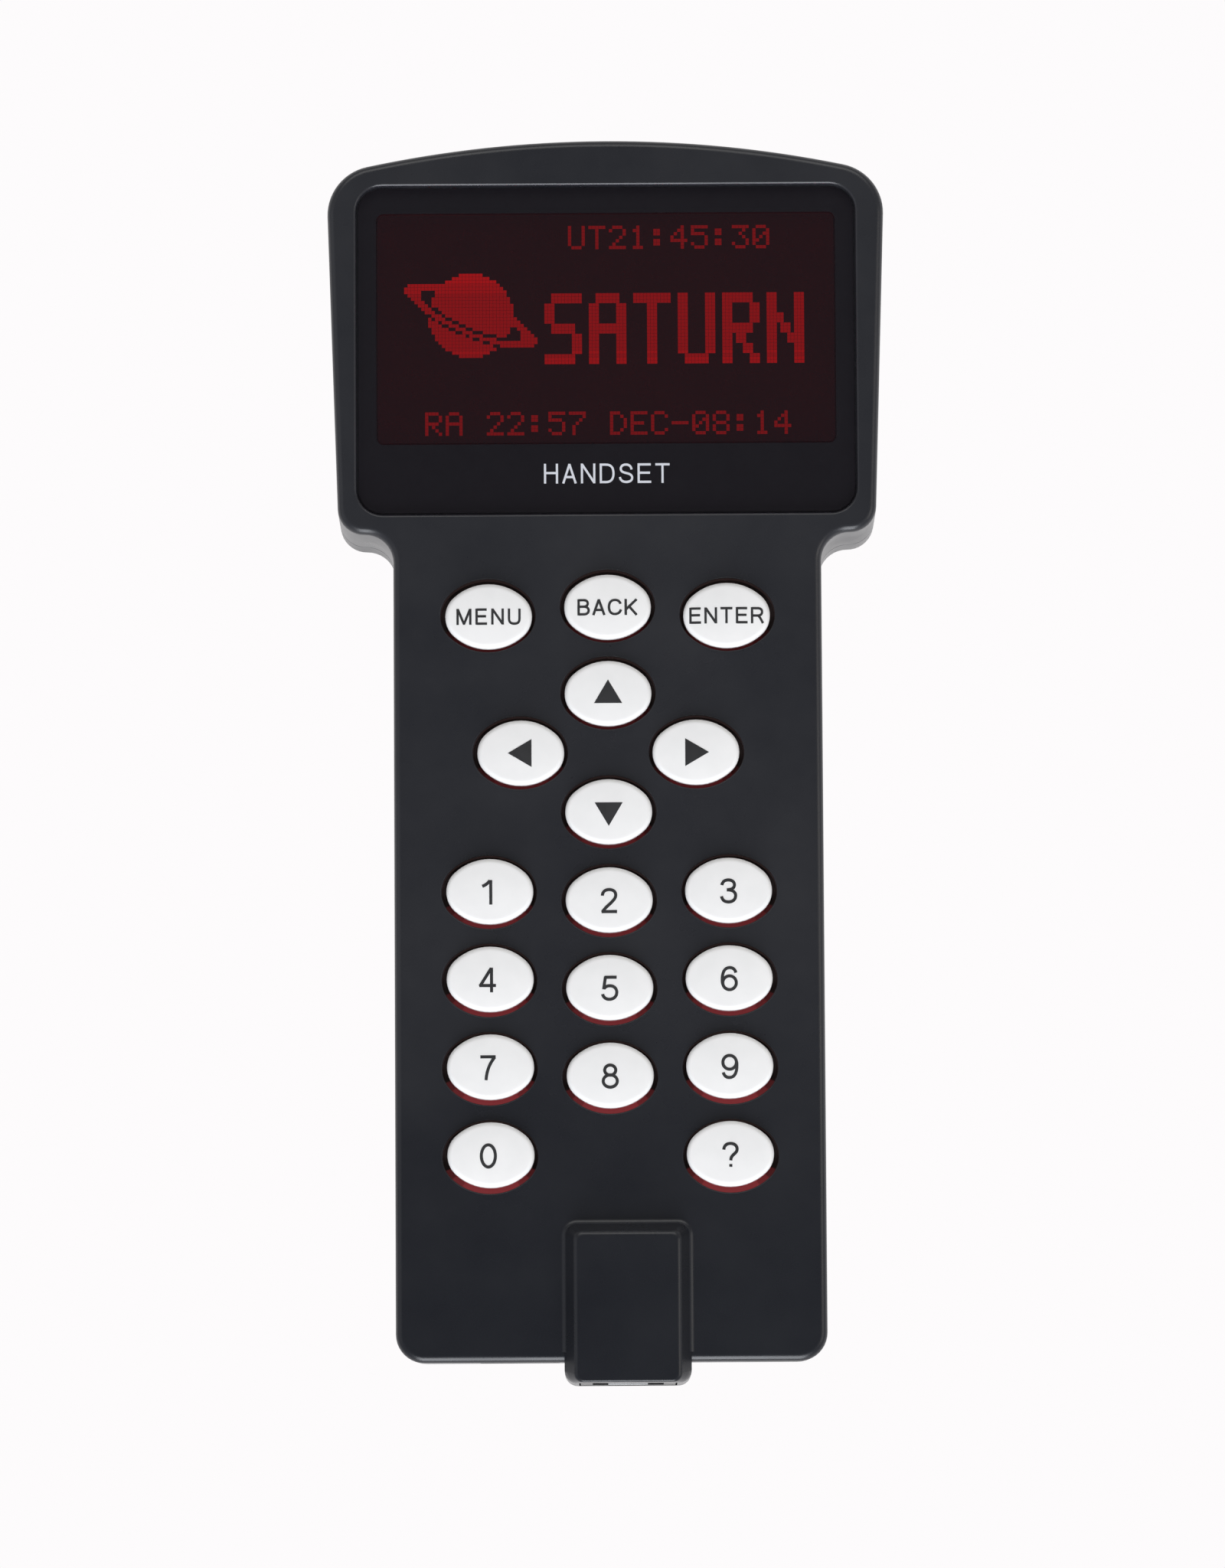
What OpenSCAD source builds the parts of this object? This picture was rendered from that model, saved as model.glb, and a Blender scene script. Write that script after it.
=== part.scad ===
// Hand controller: a two-shell plastic case with a display in its wide head,
// eighteen sprung oval keys on a rubber mat, and two modular sockets in its end.
// Millimetres. +X right, +Y towards the head, +Z out of the front face.
// The origin is under the middle of the case, on its flat back.

/* [Case] */
// Depth of the case, from the flat back to the front face
case_depth = 21; // [20.5:0.5:23]
// Wall thickness of both shells
wall = 2.2; // [2:0.1:2.4]
// Height of the parting line above the back
parting_z = 8; // [7.5:0.25:8.5]
// Width of the grip
body_width = 59.8; // [59:0.2:62]
// Width of the head at the shoulders
head_width = 75.4; // [75:0.2:77]
// Angle by which each side of the head leans out
head_flare = 1.83; // [1:0.1:2.5]
// Highest point of the arched top edge
apex_y = 87.3; // [87:0.1:89]
// Radius of the arched top edge
top_radius = 162; // [140:5:200]
// Lower edge of the head's shoulders
shoulder_y = 31.6; // [31:0.1:32]
// Lower end of the grip
end_y = -84.4; // [-86:0.1:-84]
// Corner radius at the top of the head
head_corner = 7; // [6:0.5:8]
// Outer corner radius of each shoulder
shoulder_corner = 3.7; // [3.5:0.1:3.8]
// Inner corner radius where the shoulder meets the grip
neck_corner = 4; // [3:0.5:4]
// Corner radius at the end of the grip
end_corner = 4; // [3.5:0.5:6]
// Rounding of the front edge
front_round = 1.1; // [0.8:0.1:1.5]
// Rounding of the back edge
back_round = 3.2; // [2.5:0.1:3.3]
// Draft of the end wall
end_draft = 3.5; // [2:0.5:4]

/* [Socket bump] */
// Middle of the bump, right of the case's middle
bump_x = 2.25; // [0:0.25:3]
// Width of the bump at its foot
bump_width = 17.6; // [17:0.1:19]
// Width of the flare that runs round the foot of the bump
bump_flare = 0.55; // [0.2:0.05:0.8]
// Width of the bump's flat top
bump_top_width = 14.5; // [14:0.1:16]
// Upper edge of the bump at its foot
bump_start_y = -65; // [-66:0.5:-64]
// End of the bump, past the end of the grip
bump_end_y = -87.3; // [-88:0.1:-87]
// How far the bump's end leans in, down at the parting line
bump_lean = 0.45; // [0:0.05:0.5]
// Height of the bump above the front face
bump_rise = 2.4; // [2.2:0.1:3]
// Corner radius of the bump
bump_corner = 1.8; // [1:0.1:2.5]

/* [Keys] */
// Width of a key
key_width = 12.1; // [11.5:0.1:12.4]
// Height of a key
key_height = 9.1; // [8.6:0.1:9.4]
// Gap between a key and its hole
key_gap = 0.55; // [0.4:0.05:0.6]
// How far the middle of a key stands above the front face
key_rise = 1.5; // [1:0.1:2]
// How far a key travels
key_travel = 1; // [0.6:0.1:1.2]
// Distance of the side columns from the middle
column_x = 16.6; // [16.4:0.1:17]
// Middle of the upper side keys
menu_y = 19.75; // [19.5:0.05:20]
// Middle of the first row of number keys
number_y = -18.85; // [-19:0.05:-18.5]
// Distance between rows of number keys
row_pitch = 12.25; // [12.2:0.05:12.5]
// How far the middle column stands off the side columns
middle_shift = 1.25; // [1:0.05:1.4]
// Middle of the arrow keys
arrow_y = 0.55; // [0:0.05:1]
// Distance of the side arrow keys from the middle
arrow_x = 12.2; // [12:0.1:12.5]
// Distance of the upper and lower arrow keys from their middle
arrow_reach = 8.3; // [8.2:0.05:8.6]

/* [Display] */
// Width of the window
window_width = 69.7; // [69:0.1:70]
// Height of the window
window_height = 46.3; // [46:0.1:46.5]
// Middle of the window
window_y = 57.6; // [57.4:0.1:57.8]
// Corner radius of the window
window_corner = 3.5; // [2:0.5:4]
// Depth of the window below the front face
window_sink = 0.4; // [0.2:0.1:0.5]
// Middle of the clear opening
opening_y = 60.8; // [60.6:0.1:61]
// Width of the clear opening
opening_width = 64.4; // [63:0.1:65]
// Height of the clear opening
opening_height = 32.8; // [32:0.1:33]

/* [Colours] */
// Moulded case
case_colour = "#2b2c31";
// Keys
key_colour = "#ebebed";
// Window
window_colour = "#19171c";
// Circuit boards
board_colour = "#1f5a35";

/* [Hidden] */
$fn = 48;

eps = 0.01;
board_t = 1.6;

// Heights above the back
inner_z = case_depth - wall;
board_top = case_depth - 8.4;
display_seat_z = inner_z - 1.2;
socket_board_top = case_depth - 11.6;
window_top = case_depth - window_sink;
window_t = 1.2;
window_back = window_top - window_t;
tape_t = 0.15;
display_board_top = board_top - 0.1;

// Lip that locates the rear shell in the front shell
lip_height = 1.2;
lip_inset = 1.25;

// Case outline
half_body = body_width / 2;
half_head = head_width / 2;
shoulder_ref_y = shoulder_y + 4.9;
flare_normal = [cos(head_flare), -sin(head_flare)];
flare_reach = flare_normal * [half_head, shoulder_ref_y];
top_centre_y = apex_y - top_radius;
corner_swing = asin(
    (flare_reach - head_corner + flare_normal[1] * -top_centre_y)
    / (top_radius - head_corner)) + head_flare;
corner_centre = [
    (top_radius - head_corner) * sin(corner_swing),
    top_centre_y + (top_radius - head_corner) * cos(corner_swing)
];
shoulder_centre = [
    (flare_reach - shoulder_corner - flare_normal[1] * (shoulder_y + shoulder_corner))
    / flare_normal[0],
    shoulder_y + shoulder_corner
];

// Display parts
glass_width = 67.8;
glass_low_y = 37.2;
glass_high_y = 78.2;
glass_t = 1;
frame_half = 35.2;
frame_low_y = 36.1;
frame_high_y = 79.1;

// Screw places
case_screw_places = [[14, 81.5], [24.3, 30.2], [24.3, -70]];
display_screw_places = [[30, 80.6], [31.5, 35.1]];
board_screw_places = [[8.4, 14.7], [8.3, -25.6], [8.3, -49.9]];
socket_screw_places = [[-17, -62.4], [9.2, -63.6]];
case_screw_r = 1.45;
small_screw_r = 0.95;
fine_screw_r = 0.75;
display_column_r = 1.4;
thread_gap = 0.02;

// Sockets
mount_mouth_y = bump_end_y + bump_lean;
serial_x = -12.75;
serial_mouth_y = end_y + 0.9;
mount_body = [13.2, 18, 11.7];
serial_body = [10.6, 16, 9.2];
socket_floor_z = socket_board_top + 1.2;
contact_pitch = 1.02;
contact_mouth = 2;
contact_depth = 14;
contact_r = 0.23;

// Main board
board_low_y = -61.5;
board_high_y = 26.8;

// Key places
key_places = concat(
    [[-column_x, menu_y], [0, menu_y + middle_shift], [column_x, menu_y]],
    [[0, arrow_y + arrow_reach], [-arrow_x, arrow_y], [arrow_x, arrow_y],
     [0, arrow_y - arrow_reach]],
    [for (row = [0:2], column = [-1:1]) number_place(row, column)],
    [number_place(3, -1), number_place(3, 1)]
);
key_post = [7, 4.6];
web_outer = [13.4, 10.4];
web_t = 0.5;
flange_size = [14.6, 11.4];
flange_t = 1.2;
flange_gap = 0.2;
flange_top = inner_z - flange_gap;
mat_t = 1;
mat_top = board_top + mat_t;

function number_place(row, column) =
    [column * column_x, number_y - row * row_pitch - (column == 0 ? middle_shift : 0)];

function arc(centre, r, from, to, steps) =
    [for (i = [0:steps]) let (a = from + (to - from) * i / steps)
        centre + r * [cos(a), sin(a)]];

// End of the grip at a height, on the drafted end wall
function end_at(z) = end_y + (case_depth - z) * tan(end_draft);

// Right half of the case outline, moved in by inset
function half_outline(inset, low) = concat(
    arc([half_body - end_corner, low + end_corner], end_corner - inset, -90, 0, 6),
    arc([half_body + neck_corner, shoulder_y - neck_corner], neck_corner + inset, 180, 90, 6),
    arc(shoulder_centre, shoulder_corner - inset, -90, -head_flare, 6),
    arc(corner_centre, head_corner - inset, -head_flare, 90 - corner_swing, 7),
    arc([0, top_centre_y], top_radius - inset, 90 - corner_swing, 90, 8)
);

function case_outline(inset, low = end_y) =
    let (right = half_outline(inset, low), count = len(right))
    concat(right, [for (i = [count - 2:-1:0]) [-right[i][0], right[i][1]]]);

function rounded(width, height, r) = concat(
    arc([width / 2 - r, height / 2 - r], r, 0, 90, 6),
    arc([r - width / 2, height / 2 - r], r, 90, 180, 6),
    arc([r - width / 2, r - height / 2], r, 180, 270, 6),
    arc([width / 2 - r, r - height / 2], r, 270, 360, 6)
);

// Solid through rings of equal length, each [points, z], seen whole from hub
module loft(rings, hub) {
    n = len(rings[0][0]);
    last = len(rings) - 1;
    points = concat(
        [for (ring = rings, p = ring[0]) [p[0], p[1], ring[1]]],
        [[hub[0], hub[1], rings[0][1]], [hub[0], hub[1], rings[last][1]]]
    );
    sides = [for (k = [0:last - 1], i = [0:n - 1]) let (j = (i + 1) % n)
        each [[k * n + i, (k + 1) * n + i, (k + 1) * n + j], [k * n + i, (k + 1) * n + j, k * n + j]]];
    low = [for (i = [0:n - 1]) [(last + 1) * n, i, (i + 1) % n]];
    high = [for (i = [0:n - 1]) [(last + 1) * n + 1, last * n + (i + 1) % n, last * n + i]];
    polyhedron(points, concat(sides, low, high));
}

// Oval drawn with four arcs, from its width and height. The flank arcs run a hair inside
// the tip arcs, so that they cross instead of only touching.
module oval(size) {
    a = size[0] / 2;
    b = size[1] / 2;
    hair = 0.003;
    tip = 1.05 * b * b / a;
    reach = a - tip;
    drop = (reach * reach - (b - tip) * (b - tip)) / (2 * (b - tip));
    flank = b + drop;
    meet = flank / norm([reach, drop]) * [reach, drop] - [0, drop];
    union() {
        for (side = [-1, 1]) translate([side * reach, 0]) circle(r = tip);
        intersection() {
            translate([0, -drop]) circle(r = flank - hair);
            translate([0, drop]) circle(r = flank - hair);
            square([2 * meet[0], 2 * b], center = true);
        }
    }
}

// Prism between two heights
module slab(from, to) {
    translate([0, 0, from]) linear_extrude(to - from) children();
}

module block(x, y, z) {
    translate([x[0], y[0], z[0]]) cube([x[1] - x[0], y[1] - y[0], z[1] - z[0]]);
}

module mirrored_places(places) {
    for (p = places, side = [-1, 1]) translate([side * p[0], p[1], 0]) children();
}

// Flat strip bent along a path in the YZ plane
module ribbon(path, t, width) {
    n = len(path);
    lean = [for (i = [0:n - 1])
        let (d = path[min(i + 1, n - 1)] - path[max(i - 1, 0)])
        t / 2 / norm(d) * [-d[1], d[0]]];
    edge = concat(
        [for (i = [0:n - 1]) path[i] + lean[i]],
        [for (i = [n - 1:-1:0]) path[i] - lean[i]]
    );
    rotate([90, 0, 90]) translate([0, 0, -width / 2]) linear_extrude(width) polygon(edge);
}

// Cross-head screw whose head faces -Z and sits against z = 0
module screw(r, length, head_r, head_h) {
    slot = head_r * 0.32;
    difference() {
        union() {
            translate([0, 0, -head_h]) cylinder(r = head_r, h = head_h);
            cylinder(r = r, h = length - r);
            translate([0, 0, length - r]) cylinder(r1 = r, r2 = r * 0.4, h = r);
        }
        for (turn = [0, 90]) rotate(turn)
            translate([-head_r * 0.62, -slot / 2, -head_h - 1]) cube([head_r * 1.24, slot, head_h * 0.6 + 1]);
    }
}

// ---- Case ----

module bump() {
    length = bump_start_y - bump_end_y;
    slope = (bump_width - bump_top_width) / 2;
    hull() {
        translate([bump_x, bump_end_y + length / 2, 0]) slab(case_depth - 1, case_depth)
            polygon(rounded(bump_width, length, bump_corner));
        translate([bump_x, bump_end_y + (length - slope) / 2, 0])
            slab(case_depth + bump_rise - eps, case_depth + bump_rise)
            polygon(rounded(bump_top_width, length - slope, bump_corner / 2));
    }
    bump_foot(slope / bump_rise);
}

// Flare round the foot of the bump, on the flat of the front face
module bump_foot(run) {
    height = 0.6;
    low = end_at(case_depth) + front_round + 0.1;
    steps = [
        [case_depth - 0.5, bump_flare],
        [case_depth, bump_flare],
        [case_depth + height, -height * run]
    ];
    hull() for (step = steps)
        translate([bump_x, (low + bump_start_y + step[1]) / 2, 0]) slab(step[0] - eps, step[0])
        polygon(rounded(bump_width + 2 * step[1], bump_start_y + step[1] - low, bump_corner));
}

// Part of the bump that stands past the end of the grip
module snout() {
    top = case_depth - 0.5;
    hull() for (step = [[parting_z, bump_lean], [top - eps, 0]])
        translate([bump_x, bump_end_y + step[1] + 4, 0]) slab(step[0], step[0] + eps)
        polygon(rounded(bump_width - 0.1, 8, bump_corner));
}

module front_skin() {
    turns = [0, 22.5, 45, 67.5, 90];
    loft(concat(
        [[case_outline(0, end_at(parting_z)), parting_z]],
        [for (t = turns) let (z = case_depth - front_round * (1 - sin(t)))
            [case_outline(front_round * (1 - cos(t)), end_at(z)), z]]
    ), [0, shoulder_y + 8]);
}

module front_shell() {
    color(case_colour) difference() {
        union() {
            difference() {
                union() {
                    front_skin();
                    bump();
                    snout();
                }
                slab(parting_z - 1, display_seat_z) polygon(case_outline(wall, end_at(parting_z)));
                slab(parting_z - 1, parting_z + lip_height + 0.1)
                    polygon(case_outline(lip_inset - 0.1, end_at(parting_z)));
                grip_bay();
            }
            mirrored_places([case_screw_places[0]])
                slab(parting_z, display_seat_z + eps) circle(r = 2.3);
            mirrored_places([case_screw_places[1], case_screw_places[2]])
                slab(parting_z, inner_z + eps) circle(r = 2.8);
            mirrored_places(display_screw_places)
                slab(display_board_top, display_seat_z + eps) circle(r = display_column_r);
            mirrored_places(board_screw_places) slab(board_top, inner_z + eps) circle(r = 1.9);
        }
        mirrored_places(case_screw_places)
            slab(parting_z - 1, display_seat_z - 1) circle(r = case_screw_r + thread_gap);
        mirrored_places(display_screw_places)
            slab(parting_z, display_seat_z - 0.6) circle(r = fine_screw_r + thread_gap);
        mirrored_places(board_screw_places)
            slab(parting_z, inner_z - 0.8) circle(r = small_screw_r + thread_gap);
        window_recess();
        translate([0, opening_y, 0]) slab(parting_z, case_depth + 1)
            polygon(rounded(opening_width, opening_height, 1));
        for (p = key_places) translate(p) slab(inner_z - 1, case_depth + 1)
            oval([key_width + 2 * key_gap, key_height + 2 * key_gap]);
        socket_bay(bump_x, mount_mouth_y, mount_body);
        socket_bay(serial_x, serial_mouth_y, serial_body);
    }
}

// Room behind the keys, where the front wall is at its thinnest
module grip_bay() {
    low = end_at(parting_z) + wall;
    high = shoulder_y - 0.6;
    translate([0, (low + high) / 2, 0]) slab(parting_z - 1, inner_z)
        polygon(rounded(body_width - 2 * wall, high - low, end_corner - wall));
}

module window_recess() {
    translate([0, window_y, 0]) slab(window_back - tape_t, case_depth + 1)
        polygon(rounded(window_width + 0.3, window_height + 0.3, window_corner + 0.15));
}

// Opening in the end wall that a socket's mouth fills
module socket_bay(x, mouth_y, body) {
    block([x - body[0] / 2 - 0.2, x + body[0] / 2 + 0.2],
          [mouth_y - 10, mouth_y + body[1] + 0.2],
          [socket_board_top - 0.1, socket_board_top + body[2] + 0.2]);
}

module rear_skin() {
    turns = [90, 72, 54, 36, 18, 0];
    loft(concat(
        [for (t = turns) let (z = back_round * (1 - sin(t)))
            [case_outline(back_round * (1 - cos(t)), end_at(z)), z]],
        [[case_outline(0, end_at(parting_z)), parting_z]]
    ), [0, shoulder_y + 8]);
}

module rear_shell() {
    color(case_colour) difference() {
        union() {
            difference() {
                union() {
                    rear_skin();
                    slab(parting_z - 1, parting_z + lip_height)
                        polygon(case_outline(lip_inset, end_at(parting_z)));
                }
                slab(wall, parting_z + lip_height + 1) polygon(case_outline(wall, end_at(0)));
            }
            mirrored_places(case_screw_places) slab(wall - eps, parting_z - 0.1) circle(r = 3.6);
            for (p = socket_screw_places) translate(p)
                slab(wall - eps, socket_board_top - board_t) circle(r = 2.4);
            for (y = [44, 58, 72]) block([-30, 30], [y, y + 1.2], [wall - eps, parting_z - 1]);
            for (x = [-20, 20]) block([x - 0.6, x + 0.6], [-56, 24], [wall - eps, wall + 2]);
        }
        mirrored_places(case_screw_places) {
            slab(-1, 4.5) circle(r = 2.75);
            slab(4, parting_z + 1) circle(r = 1.65);
        }
        for (p = socket_screw_places) translate(p)
            slab(wall + 1, socket_board_top) circle(r = small_screw_r + thread_gap);
        label_place() slab(-1, 0.25) polygon(rounded(44.4, 28.4, 2.2));
    }
}

module label_place() {
    translate([0, 8, 0]) children();
}

module case_screws() {
    color("#8d8f94") mirrored_places(case_screw_places)
        translate([0, 0, 4.5]) screw(case_screw_r, 11.5, 2.5, 1.9);
}

module rear_label() {
    color("#c9cacc") label_place() slab(0.05, 0.25) polygon(rounded(44, 28, 2));
}

// ---- Display ----

module display_window() {
    color(window_colour) translate([0, window_y, 0]) slab(window_back, window_top)
        polygon(rounded(window_width, window_height, window_corner));
}

module window_tape() {
    color("#121214") slab(window_back - tape_t, window_back) difference() {
        translate([0, window_y]) polygon(rounded(window_width - 0.6, window_height - 0.6, window_corner - 0.3));
        translate([0, opening_y]) square([opening_width + 0.2, opening_height + 0.2], center = true);
    }
}

module red_filter() {
    color("#5a1018") translate([0, opening_y, 0]) slab(window_back - 0.25, window_back)
        polygon(rounded(opening_width - 0.4, opening_height - 0.4, 0.8));
}

module display_polariser() {
    color("#1a1214") translate([0, opening_y, 0]) slab(display_seat_z - 0.2, display_seat_z)
        square([opening_width + 0.8, opening_height + 0.8], center = true);
}

module display_glass() {
    top = display_seat_z - 0.2;
    color("#20262b") block([-glass_width / 2, glass_width / 2], [glass_low_y, glass_high_y], [top - glass_t, top]);
}

module display_backplate() {
    top = display_seat_z - 0.2 - glass_t;
    color("#30363a") block([-glass_width / 2, glass_width / 2], [glass_low_y + 3.4, glass_high_y], [top - 0.95, top]);
}

module display_frame() {
    pocket_z = display_seat_z - 0.25 - glass_t - 0.95;
    color("#17181b") difference() {
        block([-frame_half, frame_half], [frame_low_y, frame_high_y], [display_board_top, display_seat_z]);
        block([-glass_width / 2 - 0.1, glass_width / 2 + 0.1], [glass_low_y - 0.1, glass_high_y + 0.1],
              [pocket_z, display_seat_z + 1]);
        block([-32, 32], [39.6, 76], [display_board_top - 1, display_seat_z]);
        mirrored_places(display_screw_places)
            slab(display_board_top - 1, display_seat_z + 1) circle(r = display_column_r + 0.2);
    }
}

module display_board() {
    color(board_colour) difference() {
        slab(display_board_top - board_t, display_board_top) intersection() {
            polygon(case_outline(wall + 0.25));
            translate([-50, shoulder_y + 2.5]) square([100, 60]);
        }
        mirrored_places([case_screw_places[0]])
            slab(display_board_top - 3, display_board_top + 1) circle(r = 2.6);
        mirrored_places(display_screw_places)
            slab(display_board_top - 3, display_board_top + 1) circle(r = 0.85);
    }
}

module display_flex() {
    top = display_seat_z - 0.3 - glass_t;
    low = display_board_top + 0.15;
    color("#b5651d") ribbon([
        [38, top], [39.6, top], [40.1, top - 0.2], [40.25, top - 0.8], [40.4, low + 1],
        [40.8, low + 0.3], [41.6, low], [46, low]
    ], 0.15, 30);
}

module display_screws() {
    color("#8d8f94") mirrored_places(display_screw_places)
        translate([0, 0, display_board_top - board_t]) screw(fine_screw_r, 5.6, 1.2, 1);
}

module display_cable() {
    high = display_board_top - board_t - 0.9;
    color("#d9d9d4") ribbon([
        [37, high], [34.5, high], [33, high - 0.7], [31, high - 1.3], [29, high - 1.3],
        [27, high - 0.7], [25.5, high + 0.05], [23, high + 0.05]
    ], 0.3, 20);
}

module cable_connectors() {
    display_low = display_board_top - board_t;
    main_low = board_top - board_t;
    color("#ece8dc") difference() {
        union() {
            block([-12, 12], [34.8, 39.4], [display_low - 2, display_low]);
            block([-12, 12], [21, 25.4], [main_low - 2, main_low]);
        }
        block([-10.2, 10.2], [34, 38], [display_low - 1.2, display_low - 0.6]);
        block([-10.2, 10.2], [22, 26], [main_low - 1.2, main_low - 0.6]);
    }
}

// ---- Keypad and main board ----

module main_board() {
    middle = (board_low_y + board_high_y) / 2;
    color(board_colour) difference() {
        translate([0, middle, 0]) slab(board_top - board_t, board_top)
            polygon(rounded(53.6, board_high_y - board_low_y, 2));
        mirrored_places(board_screw_places)
            slab(board_top - 3, board_top + 1) circle(r = 1.2);
        pin_places() slab(board_top - 3, board_top + 1) circle(r = 0.5);
    }
}

module board_screws() {
    color("#8d8f94") mirrored_places(board_screw_places)
        translate([0, 0, board_top - board_t]) screw(small_screw_r, 6.4, 1.9, 1.2);
}

module keypad_mat() {
    low = board_low_y + 2.4;
    high = board_high_y - 0.4;
    color("#cfc9c4") difference() {
        translate([0, (low + high) / 2, 0]) slab(board_top, mat_top)
            polygon(rounded(52.8, high - low, 2));
        for (p = key_places) translate(p) slab(board_top - 1, mat_top + 1)
            oval(web_outer - [2 * web_t, 2 * web_t]);
        mirrored_places(board_screw_places) slab(board_top - 1, mat_top + 1) circle(r = 2.2);
    }
}

module key_webs() {
    color("#d6d0cb") for (p = key_places) translate(p)
        slab(mat_top, flange_top - flange_t) difference() {
            oval(web_outer);
            oval(web_outer - [2 * web_t, 2 * web_t]);
        }
}

module backlight_leds() {
    color("#e8b0a0") for (p = key_places)
        translate([p[0] + key_post[0] / 2 + 1.2, p[1], board_top + 0.3]) cube([0.8, 1.6, 0.6], center = true);
}

// Key cap, the flange that keeps it in, and the post that meets the board
module key(place) {
    dome_r = 40;
    top = case_depth + key_rise;
    color(key_colour) translate(place) intersection() {
        union() {
            slab(flange_top - eps, top) oval([key_width, key_height]);
            slab(flange_top - flange_t, flange_top) oval(flange_size);
            slab(board_top + key_travel + 0.15, flange_top - flange_t + eps) oval(key_post);
        }
        translate([0, 0, top - dome_r]) sphere(r = dome_r);
    }
}

module key_menu() { key(key_places[0]); }
module key_back() { key(key_places[1]); }
module key_enter() { key(key_places[2]); }
module key_up() { key(key_places[3]); }
module key_left() { key(key_places[4]); }
module key_right() { key(key_places[5]); }
module key_down() { key(key_places[6]); }
module key_1() { key(key_places[7]); }
module key_2() { key(key_places[8]); }
module key_3() { key(key_places[9]); }
module key_4() { key(key_places[10]); }
module key_5() { key(key_places[11]); }
module key_6() { key(key_places[12]); }
module key_7() { key(key_places[13]); }
module key_8() { key(key_places[14]); }
module key_9() { key(key_places[15]); }
module key_0() { key(key_places[16]); }
module key_help() { key(key_places[17]); }

// ---- Parts on the back of the main board ----

// Height under the board, measured down from its back
module under_board(drop_from, drop_to) {
    slab(board_top - board_t - drop_to, board_top - board_t - drop_from) children();
}

module microcontroller() {
    color("#1c1d20") translate([0, -3.5, 0]) under_board(0.1, 1.5) square([12, 12], center = true);
}

module flash_memory() {
    color("#1c1d20") translate([-13.5, -4, 0]) under_board(0.1, 1.8) square([5.2, 5.3], center = true);
}

module crystal() {
    color("#b9bcc0") translate([12.5, -3, 0]) under_board(0, 3.5) union() {
        square([4.6, 6.6], center = true);
        for (side = [-1, 1]) translate([0, side * 3.3]) circle(r = 2.3);
    }
}

module coin_cell() {
    color("#c4c6c9") translate([0, -38, 0]) under_board(1, 4.2) circle(r = 10);
}

module cell_holder() {
    color("#202124") translate([0, -38, 0]) {
        under_board(0, 0.95) circle(r = 10.6);
        for (side = [-1, 1]) under_board(0.9, 4.4) intersection() {
            difference() {
                circle(r = 11.2);
                circle(r = 10.1);
            }
            translate([side * 10, 0]) square([8, 9], center = true);
        }
    }
}

module buzzer() {
    color("#18191b") translate([-17, 9, 0]) difference() {
        under_board(0, 6) circle(r = 6);
        under_board(5, 7) circle(r = 1.2);
    }
}

module voltage_regulator() {
    color("#1c1d20") translate([17, -52, 0]) under_board(0, 4.4) square([10, 9], center = true);
}

module capacitors() {
    color("#b9bcc0") for (y = [8, 16], x = [15, 22]) translate([x, y, 0]) under_board(0, 5.4) circle(r = 3.1);
}

module inductor() {
    color("#3a3733") translate([19, -36, 0]) under_board(0, 4.2) circle(r = 4);
}

// ---- Sockets ----

module pin_places() {
    for (i = [0:7]) translate([-12 + 2.54 * i, -59.7, 0]) children();
}

module contact_places(x, mouth_y, count) {
    for (i = [0:count - 1])
        translate([x + (i - (count - 1) / 2) * contact_pitch, mouth_y + contact_depth, 0]) children();
}

module socket_board() {
    low = end_at(0) + wall + 0.3;
    color(board_colour) difference() {
        block([-20.4, 12.4], [low, -58], [socket_board_top - board_t, socket_board_top]);
        for (p = socket_screw_places) translate(p)
            slab(socket_board_top - 3, socket_board_top + 1) circle(r = 1.2);
        pin_places() slab(socket_board_top - 3, socket_board_top + 1) circle(r = 0.5);
        contact_places(bump_x, mount_mouth_y, 6)
            slab(socket_board_top - 3, socket_board_top + 1) circle(r = 0.45);
        contact_places(serial_x, serial_mouth_y, 4)
            slab(socket_board_top - 3, socket_board_top + 1) circle(r = 0.45);
    }
}

module socket_screws() {
    color("#8d8f94") for (p = socket_screw_places) translate([p[0], p[1], socket_board_top])
        mirror([0, 0, 1]) screw(small_screw_r, 5.4, 1.9, 1.2);
}

module link_header() {
    color("#1b1c1f") difference() {
        block([-13.4, 7.2], [-60.9, -58.5], [socket_board_top, board_top - board_t]);
        pin_places() slab(socket_board_top - 1, board_top) circle(r = 0.48);
    }
}

module link_pins() {
    color("#c8a24a") pin_places() slab(socket_board_top - board_t - 0.6, board_top + 0.6)
        square(0.64, center = true);
}

// Modular socket with its latch slot towards the front face
module modular_socket(x, mouth_y, body, plug_width, contacts) {
    plug_top = socket_floor_z + 6.9;
    latch_top = socket_board_top + body[2] - 0.7;
    groove_t = contact_r + 0.35;
    difference() {
        block([x - body[0] / 2, x + body[0] / 2], [mouth_y, mouth_y + body[1]],
              [socket_board_top, socket_board_top + body[2]]);
        block([x - plug_width / 2, x + plug_width / 2], [mouth_y - 1, mouth_y + 12.8],
              [socket_floor_z, plug_top]);
        block([x - 3.1, x + 3.1], [mouth_y - 1, mouth_y + 8], [plug_top - 1, latch_top]);
        contact_places(x, mouth_y, contacts) {
            block([-0.3, 0.3], [contact_mouth - contact_depth - 0.3, 0.3],
                  [socket_floor_z - groove_t - contact_r, socket_floor_z + 1]);
            slab(socket_board_top - 1, socket_floor_z) circle(r = 0.35);
        }
    }
}

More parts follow.
